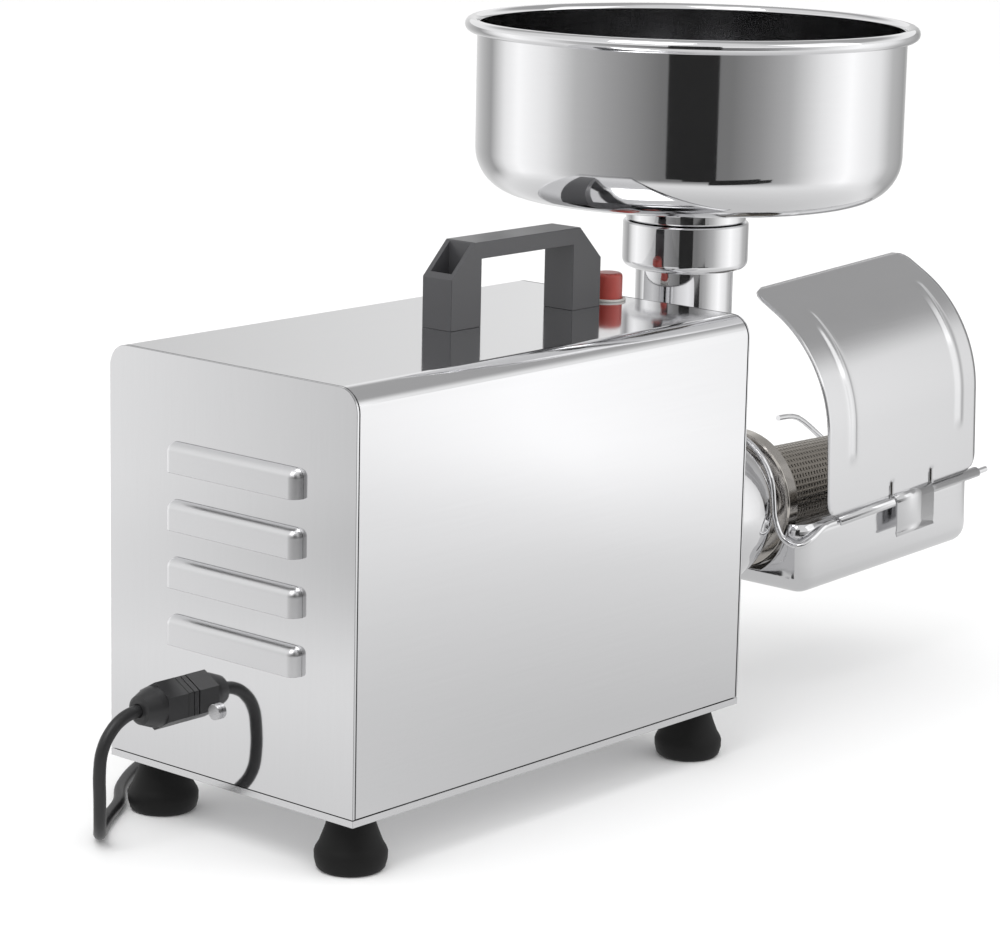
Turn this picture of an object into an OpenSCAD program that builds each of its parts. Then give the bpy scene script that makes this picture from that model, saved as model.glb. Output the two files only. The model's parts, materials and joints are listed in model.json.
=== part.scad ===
// Electric tomato press: a sheet steel motor housing that drives an auger in a perforated strainer.
// Millimetres, +Z up, +X from the rear panel to the milling end, floor at Z = 0.
// The origin lies on the floor under the middle of the machine, without its lead.

/* [Overall] */
// Length from the rear panel to the waste end of the strainer
overall_l = 495; // [485:1:520]
// Height from the floor to the top of the bowl's rim
overall_h = 330; // [320:1:345]

/* [Housing] */
// Length of the housing
housing_l = 256; // [250:1:264]
// Width of the housing
housing_w = 144; // [136:1:156]
// Height of the cover above the base plate
cover_h = 178; // [174:1:186]
// Thickness of the cover and the end panels
sheet_t = 1.2; // [0.8:0.1:2]
// Outer radius of the cover's bends
bend_r = 10; // [8:1:14]
// Thickness of the base plate
base_t = 3; // [2:0.5:4]
// Joint between the cover, the base and the end panels
seam = 0.4; // [0.3:0.1:0.6]

/* [Louvres] */
// Number of louvres in the rear panel
louvre_count = 4; // [3:1:4]
// Length of a louvre's opening
louvre_l = 77; // [60:1:84]
// Height of a louvre
louvre_h = 12.5; // [10:0.5:14]
// Distance that a louvre stands out of the panel
louvre_d = 5; // [4:0.5:7]
// Distance between louvres
louvre_pitch = 24.7; // [22:0.1:27]
// Height of the lowest louvre's opening above the floor
louvre_z = 82; // [76:1:90]
// Sideways place of the louvres' middle
louvre_y = -4; // [-12:1:6]

/* [Feet] */
// Height of a rubber foot
foot_h = 24; // [20:1:30]
// Radius of a foot at its rim
foot_r = 15.4; // [12:0.2:18]
// Radius of a foot at the base plate
foot_top_r = 9.6; // [9:0.2:12]
// Distance of a foot's middle from the housing's sides
foot_inset = 15.7; // [14:0.1:22]

/* [Handle] */
// Distance of the handle's rear end from the rear panel
handle_x = 125; // [118:1:128]
// Length of the handle
handle_l = 101; // [96:1:104]
// Width of the handle
handle_w = 17; // [15:1:24]
// Height of the handle
handle_h = 37.5; // [34:0.5:46]
// Length of a leg
leg_l = 19.5; // [17:0.5:22]
// Thickness of the grip
grip_t = 7.5; // [6:0.5:9]
// Chamfer at the top of a leg
chamfer = 15; // [12:0.5:16]
// Wall of the pocket in a leg
pocket_wall = 2.4; // [2:0.1:3]
// Height of the pocket's floor
pocket_z = 16; // [10:1:17]

/* [Switch] */
// Distance of the button from the rear panel
button_x = 242; // [241:0.5:243]
// Radius of the button
button_r = 6.6; // [5:0.1:6.8]
// Height of the button above its ring
button_h = 11.7; // [8:0.1:14]
// Travel of the button
button_travel = 3; // [2:0.5:4]
// Height of the ring round the button
bezel_h = 1.2; // [1:0.1:2]

/* [Hopper] */
// Outer radius of the bowl's wall
bowl_r = 99.8; // [92:0.2:106]
// Radius of the rolled bead at the rim
bead_r = 3.2; // [2.4:0.2:4]
// Height of the bowl's straight wall
bowl_wall_h = 56; // [48:1:62]
// Outer radius of the bowl's bottom bend
bowl_bend_r = 22; // [16:1:26]
// Drop of the bowl's bottom towards the spout
bowl_drop = 4; // [2:0.5:6]
// Wall of the bowl
bowl_t = 1; // [0.8:0.1:1.5]
// Depth of the spout below the bowl's ring
spout_l = 26; // [20:1:30]

/* [Milling body] */
// Height of the auger's axis above the floor
axis_z = 95; // [93:0.5:98]
// Distance of the feed tube from the front panel
feed_gap = 42.5; // [38:0.5:46]
// Outer radius of the feed tube
feed_r = 23; // [21:0.2:24]
// Wall of the feed tube
feed_t = 1.5; // [1.2:0.1:2]
// Outer radius of the socket on the feed tube
collar_r = 29.6; // [28:0.2:31]
// Height of the socket
collar_h = 22; // [18:1:26]
// Outer radius of the body
body_r = 40; // [38:0.5:42]
// Length of the body's straight part
body_straight = 47; // [44:1:50]
// Length of the body's domed end
dome_l = 31; // [28:1:33]
// Outer radius of the neck between the dome and the strainer ring
neck_r = 28; // [26:0.5:29]
// Length of the neck
neck_l = 8; // [7:0.5:9]
// Wall of the body
body_t = 3; // [2.5:0.5:4]
// Radius of the mounting flange
flange_r = 52; // [50:1:56]
// Thickness of the mounting flange
flange_t = 5; // [4:0.5:7]

/* [Strainer] */
// Outer radius of the strainer's ring
ring_r = 34.3; // [33:0.1:35]
// Length of the strainer's ring
ring_l = 9; // [8:0.5:11]
// Outer radius of the screen at the ring
screen_r1 = 21.6; // [21:0.1:22.4]
// Outer radius of the screen at the waste end
screen_r2 = 18; // [16.5:0.1:19]
// Wall of the screen
screen_t = 1.2; // [1:0.1:1.6]
// Radius of a hole in the screen
hole_r = 1.6; // [0.8:0.1:2]
// Holes round the screen
holes_round = 12; // [8:1:16]
// Rows of holes along the screen
holes_along = 10; // [6:1:12]
// Pitch of the auger's two flights
auger_pitch = 56; // [40:2:70]
// Thickness of the auger's flights
flight_t = 5; // [4:0.5:6]
// Gap between the flights and the screen
flight_gap = 0.6; // [0.4:0.1:1]

/* [Tray and guard] */
// Distance from the middle to each rail
rail_y = 48; // [46:0.5:50]
// Height of the rails at the tray's rear end
rail_z = 88.3; // [86:0.1:91]
// Distance of the near hem's rear end from the rear panel
hem_x = 363.3; // [362:0.1:366]
// Length of the hem
hem_l = 120; // [110:1:124]
// Rise of the rails towards the waste end, in degrees
rail_tilt = 3.1; // [1:0.1:3.6]
// Radius of the wire
wire_r = 1.5; // [1.2:0.1:1.7]
// Outer radius of the rolled hem
hem_r = 2.7; // [2.6:0.1:3]
// Depth of the tray below the rails
tray_d = 33.5; // [30:0.5:34]
// Slope of the tray's bottom below the rails, in degrees
tray_slope = 1.2; // [0:0.1:1.4]
// Distance that the tray reaches behind the hem
tray_back = 24.5; // [24:0.1:25]
// Distance that the tray reaches in front of the hem
tray_front = 1.7; // [1:0.1:3]
// Radius of the tray's upright corners
tray_corner_r = 10.4; // [9.6:0.1:12]
// Radius of the tray's bottom edge
tray_edge_r = 8.6; // [6:0.1:9.2]
// Thickness of the tray and the guard
tray_t = 0.9; // [0.7:0.1:1.2]
// Length of the splash guard along the rail
guard_l = 126; // [118:1:130]
// Distance that the guard reaches behind the hem
guard_back = 8.4; // [6:0.2:10]
// Height of the guard's straight part
guard_rise = 42; // [36:1:48]
// Radius of the guard's curve
guard_r = 65; // [58:1:70]
// Angle that the guard's curve turns through
guard_turn = 59; // [52:1:64]
// Length of the guard's top lip
guard_lip = 18; // [12:1:20]
// Width of the clip that holds the guard
clip_w = 32; // [24:1:38]

/* [Drive] */
// Module of the gears
gear_m = 1.5; // [1.4:0.05:1.5]
// Teeth on the motor pinion
teeth_motor = 14; // [14:1:16]
// Teeth on the first gear
teeth_first = 46; // [44:1:48]
// Teeth on the second pinion
teeth_second = 16; // [14:1:18]
// Outer radius of the motor's stator
stator_r = 52; // [48:1:54]
// Length of the stator
stator_l = 70; // [60:1:72]
// Outer radius of the rotor
rotor_r = 28.5; // [26:0.5:30]
// Air gap between rotor and stator
air_gap = 0.5; // [0.4:0.1:0.8]
// Radius of the motor's and the second shaft
shaft_r = 6; // [5:0.5:7]
// Radius of the output shaft
out_shaft_r = 8.5; // [7.5:0.5:8.5]

/* [Lead] */
// Sideways place of the cable gland
gland_y = 29.4; // [27:0.1:31]
// Height of the cable gland above the floor
gland_z = 57.4; // [56:0.1:60]
// Distance that the gland stands out of the panel
gland_l = 24; // [22:0.5:26]
// Diameter of the lead
lead_d = 5.5; // [5.5:0.1:6]
// Radius of the coil at the middle of its turns
coil_r = 30; // [28:1:33]

/* [Hidden] */
$fn = 96;

fit = 0.3;
run_fit = 0.05;
tiny = 0.01;

// Places along the machine, measured from its middle
rear_x = -(overall_l + louvre_d) / 2 + louvre_d;
front_x = rear_x + housing_l;
feed_x = front_x + feed_gap;
dome_x = front_x + body_straight;
neck_x = dome_x + dome_l;
ring_x = neck_x + neck_l;
screen_x = ring_x + ring_l;
end_x = rear_x + overall_l;
wire_x = neck_x + wire_r + fit;
screen_l = end_x - screen_x;

// Heights
base_z = foot_h;
cover_z = base_z + base_t;
top_z = cover_z + cover_h;
rim_z = overall_h - bead_r;
wall_z = rim_z - bowl_wall_h;
bowl_ring_r = collar_r - 1.4;
bowl_bottom_z = wall_z - bowl_bend_r;
bowl_neck_z = bowl_bottom_z - bowl_drop;
collar_z2 = bowl_neck_z - 8;
collar_z1 = collar_z2 - collar_h;
spout_r = feed_r - feed_t - fit;

// Gears
pressure = 25;
gear_sum = teeth_motor + teeth_first;
teeth_output = gear_sum - teeth_second;
gear_c = gear_m * gear_sum / 2;
second_z = axis_z + gear_c;
backlash = 0.12;
first_w = 12;
second_w = 20;

// Places of the drive along the machine
stator_x = rear_x + 62;
bell_l = 26;
bell_wall = 4;
box_x = stator_x + stator_l + bell_l + 2;
box_wall = 5;
box_l = 66;
box_r = max(gear_m * (teeth_first / 2 + 1), gear_m * (teeth_output / 2 + 1)) + 3;
first_x = box_x + box_wall + 5;
second_x = first_x + first_w + 4;
cover_x = box_x + box_l;
cover_t = 6;
boss_l = 12;
bearing_w = 8;
bearing_r = 14;

module bar_x(x1, x2, r) translate([x1, 0, 0]) rotate([0, 90, 0]) cylinder(h = x2 - x1, r = r);
module tube_x(x1, x2, r_out, r_in) difference() {
    bar_x(x1, x2, r_out);
    bar_x(x1 - 1, x2 + 1, r_in);
}
module at_axis() translate([0, 0, axis_z]) children();
module at_second() translate([0, 0, second_z]) children();
module revolve_x() rotate([0, 90, 0]) rotate([0, 0, 180]) rotate_extrude() children();
module on_rails() translate([rear_x + hem_x, 0, rail_z]) rotate([0, -rail_tilt, 0]) children();
module slab(x1, x2, y1, y2, z1, z2) translate([x1, y1, z1]) cube([x2 - x1, y2 - y1, z2 - z1]);

// Outline of the cover in the YZ plane, drawn as a U with rounded top corners
module cover_outline(w, h, r) {
    translate([-w / 2, 0]) square([w, h - r]);
    translate([-w / 2 + r, 0]) square([w - 2 * r, h]);
    for (s = [-1, 1]) translate([s * (w / 2 - r), h - r]) circle(r);
}
module extrude_x(x1, x2) translate([x1, 0, 0]) rotate([90, 0, 90]) linear_extrude(x2 - x1) children();

// Places and sizes of the smaller pieces
louvre_edge = 4;
screw_r = 2.5;
head_r = 4.8;
head_h = 3.6;
nut_r = 4.6;
nut_h = 4;
flange_screw_r = (flange_r + body_r) / 2;
pocket_l = chamfer - 0.5 - pocket_wall;
handle_screw_x = pocket_wall + pocket_l / 2;
switch_r = button_r + fit + 0.6;
bezel_r = switch_r + 0.8;
barrel_l = 14;
stem_r = 2.4;
lug_c = stator_r + 4;
lug_r = 6;
rod_r = 2.5;
neck_bore = screen_r1 - screen_t;
spigot_r = neck_bore + 3.6;
spigot_l = 6;
bayonet_r = spigot_r + 3;
bayonet_w = 3;
bayonet_half = 12;
twist_range = 30;
flight_r = neck_bore - flight_gap;
core_r = 11;
hex_r = 8;
hex_l = 26;
auger_x = front_x + flange_t + 3;
out_bearing_r = 17.5;
out_bearing_w = 10;
out_boss_x = cover_x - 19.5;
gear_gap = 0.5;
lead_r = lead_d / 2;
lead_bend = 21;
lead_turn = 48;
gland_r = 10.4;
flange_w = 3;
thread_r = 6;
earth_y = 6.6;
earth_z = 57;
earth_r = 2;
coil_x = rear_x + 115;
coil_y = housing_w / 2 + 46;

// A screw's places
module foot_places() for (x = [rear_x + foot_inset, front_x - foot_inset])
    for (s = [-1, 1]) translate([x, s * (housing_w / 2 - foot_inset), 0]) children();
module handle_screw_places() for (x = [handle_screw_x, handle_l - handle_screw_x])
    translate([rear_x + handle_x + x, 0, 0]) children();
module flange_places() for (a = [45:90:315]) translate([0, 0, axis_z])
    rotate([a, 0, 0]) translate([0, 0, flange_screw_r]) children();
module hex_x(x1, x2, r) translate([x1, 0, 0]) rotate([0, 90, 0]) cylinder(h = x2 - x1, r = r, $fn = 6);

// A tube swept along points
function unit(v) = v / norm(v);
function tangent(p, i) = unit(p[min(i + 1, len(p) - 1)] - p[max(i - 1, 0)]);
function carried(n, t) = unit(n - (n * t) * t);
function normals(p, n, i = 0) = i == len(p) ? [] :
    let (m = carried(n, tangent(p, i))) concat([m], normals(p, m, i + 1));
function between(a, b, c, d, t) = 0.5 * (2 * b + (c - a) * t + (2 * a - 5 * b + 4 * c - d) * t * t
    + (3 * b - a - 3 * c + d) * t * t * t);
function smooth(p, n) = concat([for (i = [0 : len(p) - 2]) for (k = [0 : n - 1])
    between(p[max(i - 1, 0)], p[i], p[i + 1], p[min(i + 2, len(p) - 1)], k / n)], [p[len(p) - 1]]);
module swept(p, r, start, sides) {
    n = normals(p, start);
    rings = [for (i = [0 : len(p) - 1]) for (k = [0 : sides - 1])
        let (b = cross(tangent(p, i), n[i]), a = 360 * k / sides)
            p[i] + r * (cos(a) * n[i] + sin(a) * b)];
    last = len(p) * sides - sides;
    walls = [for (i = [0 : len(p) - 2]) for (k = [0 : sides - 1])
        let (a = i * sides + k, b = i * sides + (k + 1) % sides) each [[a, b, a + sides],
            [b, b + sides, a + sides]]];
    polyhedron(rings, concat(walls, [[for (k = [sides - 1 : -1 : 0]) k]],
        [[for (k = [0 : sides - 1]) last + k]]));
}

module base_plate() color("gainsboro") {
    lip_h = 9;
    lip_y = housing_w / 2 - sheet_t - fit;
    difference() {
        union() {
            slab(rear_x, front_x, -housing_w / 2, housing_w / 2, base_z, cover_z);
            for (s = [-1, 1]) translate([0, s * (lip_y - sheet_t / 2), 0])
                slab(rear_x + 24, front_x - 24, -sheet_t / 2, sheet_t / 2, cover_z - tiny, cover_z + lip_h);
        }
        foot_places() translate([0, 0, base_z - 1]) cylinder(h = base_t + 2, r = screw_r + fit);
    }
}

module housing_cover() color("silver") difference() {
    translate([0, 0, cover_z + seam]) extrude_x(rear_x + sheet_t + seam, front_x - sheet_t - seam)
        difference() {
            cover_outline(housing_w, cover_h - seam, bend_r);
            translate([0, -1]) cover_outline(housing_w - 2 * sheet_t, cover_h - seam - sheet_t + 1,
                bend_r - sheet_t);
        }
    handle_screw_places() translate([0, 0, top_z - 5]) cylinder(h = 10, r = screw_r + fit);
    translate([rear_x + button_x, 0, top_z - 5]) cylinder(h = 10, r = switch_r + run_fit);
}

// One louvre: a pressed hood with a flat face and rounded edges, open along its lower edge
module louvre_hood(l, h, d, w, back) {
    rim = concat([[0, -back]], [for (a = [0:15:90]) [w * sin(a), d * cos(a)]], [[w, -back]]);
    rotate([0, -90, 0]) {
        translate([0, w - l / 2, -back]) cube([h - w, l - 2 * w, d + back]);
        translate([h - w, l / 2 - w, 0]) rotate([90, 0, 0]) linear_extrude(l - 2 * w) polygon(rim);
        for (s = [0, 1]) mirror([0, s, 0]) translate([0, l / 2 - w, 0]) {
            rotate([90, 0, 90]) linear_extrude(h - w) polygon(rim);
            translate([h - w, 0, 0]) rotate_extrude(angle = 90) polygon(rim);
        }
    }
}
module louvre_places() for (i = [0 : louvre_count - 1])
    translate([rear_x, louvre_y, louvre_z + i * louvre_pitch]) children();

// Side lips that tuck an end panel into the cover
module panel_lips(x1, x2) for (s = [-1, 1]) translate([0, s * (housing_w / 2 - sheet_t - fit), 0])
    slab(x1, x2, s > 0 ? -sheet_t : 0, s > 0 ? 0 : sheet_t, cover_z + 14, top_z - bend_r - 6);

module rear_panel() color("silver") difference() {
    union() {
        translate([0, 0, cover_z + seam]) extrude_x(rear_x, rear_x + sheet_t)
            cover_outline(housing_w, cover_h - seam, bend_r);
        panel_lips(rear_x + sheet_t - tiny, rear_x + 11);
        louvre_places() louvre_hood(louvre_l, louvre_h, louvre_d, louvre_edge, sheet_t / 2);
    }
    louvre_places() louvre_hood(louvre_l - 2 * sheet_t, louvre_h - sheet_t, louvre_d - sheet_t,
        louvre_edge - sheet_t, sheet_t + 1);
    translate([0, gland_y, gland_z]) bar_x(rear_x - 1, rear_x + 5, thread_r + fit);
    translate([0, earth_y, earth_z]) bar_x(rear_x - 1, rear_x + 5, earth_r + fit);
}

module front_panel() color("silver") difference() {
    union() {
        translate([0, 0, cover_z + seam]) extrude_x(front_x - sheet_t, front_x)
            cover_outline(housing_w, cover_h - seam, bend_r);
        panel_lips(front_x - 9, front_x - sheet_t + tiny);
    }
    at_axis() bar_x(front_x - 5, front_x + 1, out_bearing_r + 3);
    flange_places() bar_x(front_x - 5, front_x + 1, screw_r + fit);
}

module rubber_feet() color("dimgray") foot_places() rotate_extrude() difference() {
    polygon([[0, 0], [foot_r - 2.2, 0], [foot_r - 0.9, 1.4], [foot_r - 0.1, 4.5], [foot_r, 7.5],
        [foot_r - 0.5, 9], [foot_r - 2, 11.5], [foot_top_r + 1.5, 17.5], [foot_top_r + 0.3, 21.5],
        [foot_top_r, foot_h], [0, foot_h]]);
    square([screw_r + fit, foot_h]);
    square([head_r + 1.2, 9]);
}

module foot_screws() color("silver") foot_places() {
    translate([0, 0, 9 - head_h]) cylinder(h = head_h, r = head_r);
    translate([0, 0, 9 - tiny]) cylinder(h = cover_z + 7 - 9, r = screw_r);
}

module foot_nuts() color("silver") foot_places() difference() {
    translate([0, 0, cover_z]) cylinder(h = nut_h, r = nut_r, $fn = 6);
    translate([0, 0, cover_z - 1]) cylinder(h = nut_h + 2, r = screw_r + run_fit);
}

module carrying_handle() color("black") translate([rear_x + handle_x, 0, top_z]) difference() {
    translate([0, handle_w / 2, 0]) rotate([90, 0, 0]) linear_extrude(handle_w) difference() {
        polygon([[0, 0], [0, handle_h - chamfer], [chamfer, handle_h], [handle_l - chamfer, handle_h],
            [handle_l, handle_h - chamfer], [handle_l, 0]]);
        translate([leg_l, -1]) square([handle_l - 2 * leg_l, handle_h - grip_t + 1]);
    }
    for (x = [pocket_wall, handle_l - pocket_wall - pocket_l])
        slab(x, x + pocket_l, pocket_wall - handle_w / 2, handle_w / 2 - pocket_wall, pocket_z, handle_h + 1);
    for (x = [handle_screw_x, handle_l - handle_screw_x])
        translate([x, 0, -1]) cylinder(h = handle_h, r = screw_r + fit);
}

module handle_screws() color("silver") handle_screw_places() {
    translate([0, 0, top_z + pocket_z]) cylinder(h = head_h, r = head_r);
    translate([0, 0, top_z - sheet_t - 7]) cylinder(h = pocket_z + sheet_t + 7 + tiny, r = screw_r);
}

module handle_nuts() color("silver") handle_screw_places() difference() {
    translate([0, 0, top_z - sheet_t - nut_h]) cylinder(h = nut_h, r = nut_r, $fn = 6);
    translate([0, 0, top_z - 20]) cylinder(h = 30, r = screw_r + run_fit);
}

module at_button() translate([rear_x + button_x, 0, top_z]) children();

module button_bezel() color("whitesmoke") at_button() difference() {
    union() {
        cylinder(h = bezel_h, r = bezel_r);
        translate([0, 0, -barrel_l]) cylinder(h = barrel_l + 1, r = switch_r);
    }
    translate([0, 0, -barrel_l - 1]) cylinder(h = barrel_l + 10, r = button_r + fit);
}

module button_nut() color("silver") at_button() difference() {
    translate([0, 0, -sheet_t - 3]) cylinder(h = 3, r = switch_r + 3.4, $fn = 6);
    translate([0, 0, -20]) cylinder(h = 30, r = switch_r + run_fit);
}

module switch_body() color("dimgray") at_button() difference() {
    union() {
        slab(-9, 9, -12, 12, -barrel_l - 24, -barrel_l);
        for (y = [-6, 6]) slab(-3, 3, y - 0.4, y + 0.4, -barrel_l - 32, -barrel_l - 23);
    }
    translate([0, 0, -barrel_l - 12]) cylinder(h = 20, r = stem_r + fit);
}

module start_button() color("red") at_button() {
    translate([0, 0, -4]) cylinder(h = bezel_h + button_h + 3, r = button_r);
    translate([0, 0, bezel_h + button_h - 1]) cylinder(h = 1, r1 = button_r, r2 = button_r - 1);
    translate([0, 0, -barrel_l - 6]) cylinder(h = barrel_l + 3, r = stem_r);
}

module earth_screw() color("silver") translate([0, earth_y, earth_z]) {
    bar_x(rear_x - 2.2, rear_x, 3.4);
    bar_x(rear_x - tiny, rear_x + 10, earth_r);
    difference() {
        hex_x(rear_x + sheet_t, rear_x + sheet_t + 3.2, 4);
        bar_x(rear_x, rear_x + 20, earth_r + run_fit);
    }
}

module motor_cradle() color("gray") difference() {
    slab(stator_x + 6, stator_x + stator_l - 6, -30, 30, cover_z, axis_z - 38);
    at_axis() bar_x(stator_x, stator_x + stator_l, stator_r + run_fit);
}

module slots(r1, r2, w, x1, x2) for (a = [0:15:345]) at_axis() rotate([a, 0, 0])
    slab(x1, x2, -w / 2, w / 2, r1, r2);

module motor_stator() color("slategray") difference() {
    at_axis() tube_x(stator_x, stator_x + stator_l, stator_r, rotor_r + air_gap);
    slots(rotor_r + 2.5, stator_r - 9, 4.4, stator_x - 1, stator_x + stator_l + 1);
}

module stator_windings() color("chocolate") {
    slots(rotor_r + 2.8, stator_r - 9.3, 3.8, stator_x - 2, stator_x + stator_l + 2);
    for (x = [stator_x - 12, stator_x + stator_l + 0.4]) at_axis()
        tube_x(x, x + 11.6, stator_r - 9, rotor_r + 2.6);
}

module lug_places() for (a = [60, 120, 240, 300]) rotate([a, 0, 0]) translate([0, 0, lug_c]) children();

// A cup that holds one motor bearing, with its closed end at x = 0
module end_bell() difference() {
    union() {
        difference() {
            bar_x(0, bell_l, stator_r);
            bar_x(bell_wall, bell_l + 1, stator_r - bell_wall);
        }
        bar_x(1, bearing_w + 3, bearing_r + 3.5);
        lug_places() bar_x(0, bell_l, lug_r);
    }
    bar_x(3, bell_l, bearing_r + run_fit);
    bar_x(-1, bell_l, shaft_r + 1.5);
    for (a = [22.5:45:337.5]) rotate([a, 0, 0]) translate([0, 0, 34]) bar_x(-1, bell_wall + 1, 9);
    lug_places() bar_x(-1, bell_l + 1, rod_r + fit);
}

module rear_end_bell() color("silver") at_axis() translate([stator_x - bell_l, 0, 0]) end_bell();

module front_end_bell() color("silver") at_axis() translate([stator_x + stator_l + bell_l, 0, 0])
    mirror([1, 0, 0]) end_bell();

module motor_tie_rods() color("silver") at_axis() lug_places() {
        bar_x(stator_x - bell_l - 4, stator_x + stator_l + bell_l, rod_r);
        bar_x(stator_x - bell_l - 4, stator_x - bell_l, rod_r + 2);
    }

module bearing(x, r_out, r_in, w) difference() {
    tube_x(x, x + w, r_out, r_in + run_fit);
    tube_x(x - 1, x + 0.5, r_out - 2.5, r_in + 2.5);
    tube_x(x + w - 0.5, x + w + 1, r_out - 2.5, r_in + 2.5);
}

module motor_bearings() color("silver") at_axis() for (x = [stator_x - bell_l + 3,
    stator_x + stator_l + bell_l - 3 - bearing_w]) bearing(x, bearing_r, shaft_r, bearing_w);

module rotor_core() color("darkgray") at_axis() difference() {
    union() {
        bar_x(stator_x + 1, stator_x + stator_l - 1, rotor_r);
        bar_x(stator_x - 5, stator_x + stator_l + 5, rotor_r - 3);
    }
    bar_x(stator_x - 9, stator_x + stator_l + 9, shaft_r + run_fit / 2);
}

module rotor_shaft() color("silver") at_axis()
    bar_x(rear_x + 19, first_x + first_w + 1, shaft_r);

module cooling_fan() color("dimgray") at_axis() difference() {
    union() {
        bar_x(rear_x + 31.5, rear_x + 33.5, 44);
        bar_x(rear_x + 21, rear_x + 33.5, 11);
        for (a = [0:40:320]) rotate([a, 0, 0]) slab(rear_x + 22, rear_x + 32, -0.9, 0.9, 9, 44);
    }
    bar_x(rear_x + 15, rear_x + 40, shaft_r + run_fit / 2);
}

// Involute gear outline: four points up each flank
function involute(rb, r) = let (c = acos(min(1, rb / r))) [r, tan(c) * 180 / PI - c];
module gear_outline(m, teeth, bore, lash) {
    rp = m * teeth / 2;
    rb = rp * cos(pressure);
    root = rp - 1.25 * m;
    tip = rp + m;
    half = 90 / teeth + involute(rb, rp)[1] - lash * 90 / (PI * rp);
    levels = [max(rb, root + 0.3 * m), (rb + rp) / 2 + 0.2 * m, rp + 0.35 * m, tip];
    flank = [for (r = levels) involute(rb, max(r, rb * 1.0001))];
    foot = min(half - flank[0][1] + 0.4, 176 / teeth);
    points = [for (i = [0 : teeth - 1]) let (c = 360 * i / teeth) each concat(
        [[root, c - foot]], [for (f = flank) [f[0], c - half + f[1]]],
        [for (k = [3 : -1 : 0]) [flank[k][0], c + half - flank[k][1]]], [[root, c + foot]])];
    difference() {
        polygon([for (p = points) p[0] * [cos(p[1]), sin(p[1])]]);
        circle(bore);
    }
}
module gear_x(x1, x2, teeth, bore, phase) extrude_x(x1, x2) rotate(phase)
    gear_outline(gear_m, teeth, bore, backlash);

module motor_pinion() color("silver") at_axis()
    gear_x(first_x, first_x + first_w, teeth_motor, shaft_r + run_fit / 2, 90);

module first_gear() color("burlywood") at_second() difference() {
    gear_x(first_x, first_x + first_w, teeth_first, shaft_r + run_fit / 2, 180 / teeth_first - 90);
    for (x = [first_x - 1, first_x + first_w - 3]) tube_x(x, x + 4, gear_m * teeth_first / 2 - 5, 14);
}

module second_pinion() color("silver") at_second() gear_x(second_x, second_x + second_w, teeth_second,
    shaft_r + run_fit / 2, 180 / teeth_second - 90);

module output_gear() color("silver") at_axis() difference() {
    gear_x(second_x + gear_gap, second_x + second_w - 1.5, teeth_output, out_shaft_r + run_fit / 2, 90);
    for (a = [0:60:300]) rotate([a, 0, 0]) translate([0, 0, 20]) bar_x(second_x, second_x + 30, 5);
}

module second_shaft() color("silver") at_second()
    bar_x(box_x + 2, cover_x - 1, shaft_r);

module output_shaft() color("silver") at_axis() {
    bar_x(second_x - 0.5, auger_x + 1, out_shaft_r);
    hex_x(auger_x + 1 - tiny, auger_x + hex_l, hex_r);
}

module box_outline(r) {
    for (z = [axis_z, second_z]) translate([0, z]) circle(r);
    translate([-r, axis_z]) square([2 * r, gear_c]);
}
module box_screw_places() for (s = [-1, 1]) {
    translate([0, s * (box_r + box_wall), axis_z + gear_c / 2]) children();
    for (p = [[axis_z, -45], [second_z, 45]]) translate([0, s * (box_r + box_wall) * cos(p[1]),
        p[0] + (box_r + box_wall) * sin(p[1])]) children();
}

module gearbox_case() color("silver") difference() {
    union() {
        extrude_x(box_x, cover_x) box_outline(box_r + box_wall);
        box_screw_places() bar_x(cover_x - 16, cover_x, 5);
        for (s = [-1, 1]) translate([0, s * 32, 0]) {
            slab(box_x + 4, cover_x - 4, -8, 8, cover_z, axis_z - 20);
        }
        for (s = [-1, 1]) translate([0, s * 40, 0]) {
            slab(box_x + 4, cover_x - 4, -16, 16, cover_z, cover_z + 6);
        }
    }
    difference() {
        extrude_x(box_x + box_wall, cover_x + 1) box_outline(box_r);
        at_second() bar_x(box_x, first_x - gear_gap, bearing_r + 3);
    }
    at_second() bar_x(first_x - gear_gap - bearing_w - 0.1, first_x, bearing_r + run_fit);
    at_axis() bar_x(box_x - 1, first_x, shaft_r + 1);
    box_screw_places() bar_x(cover_x - 12, cover_x + 1, 1.6);
}

module gearbox_cover() color("silver") difference() {
    union() {
        extrude_x(cover_x, cover_x + cover_t) box_outline(box_r + box_wall);
        box_screw_places() bar_x(cover_x, cover_x + cover_t, 5);
        at_axis() bar_x(out_boss_x, cover_x + 1, out_bearing_r + 4);
        at_second() bar_x(cover_x - boss_l, cover_x + 1, bearing_r + 3);
    }
    at_axis() bar_x(out_boss_x + 1.5, cover_x + cover_t + 1, out_bearing_r + run_fit);
    at_axis() bar_x(out_boss_x - 1, cover_x, out_bearing_r - 4);
    at_second() bar_x(cover_x - boss_l - 1, cover_x - boss_l + 0.5 + bearing_w, bearing_r + run_fit);
    at_second() bar_x(cover_x - 5, cover_x + 2, shaft_r + 1.5);
    box_screw_places() bar_x(cover_x - 1, cover_x + cover_t + 1, 2 + fit);
}

module gearbox_screws() color("silver") box_screw_places() {
    bar_x(cover_x + cover_t, cover_x + cover_t + 2.6, 3.6);
    bar_x(cover_x - 10, cover_x + cover_t + tiny, 1.5);
}

module gearbox_bearings() color("silver") {
    at_second() bearing(first_x - gear_gap - bearing_w, bearing_r, shaft_r, bearing_w);
    at_second() bearing(cover_x - boss_l + 0.4, bearing_r, shaft_r, bearing_w);
    for (k = [0, 1]) at_axis()
        bearing(out_boss_x + 1.6 + k * (out_bearing_w + 0.4), out_bearing_r, out_shaft_r, out_bearing_w);
}

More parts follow.
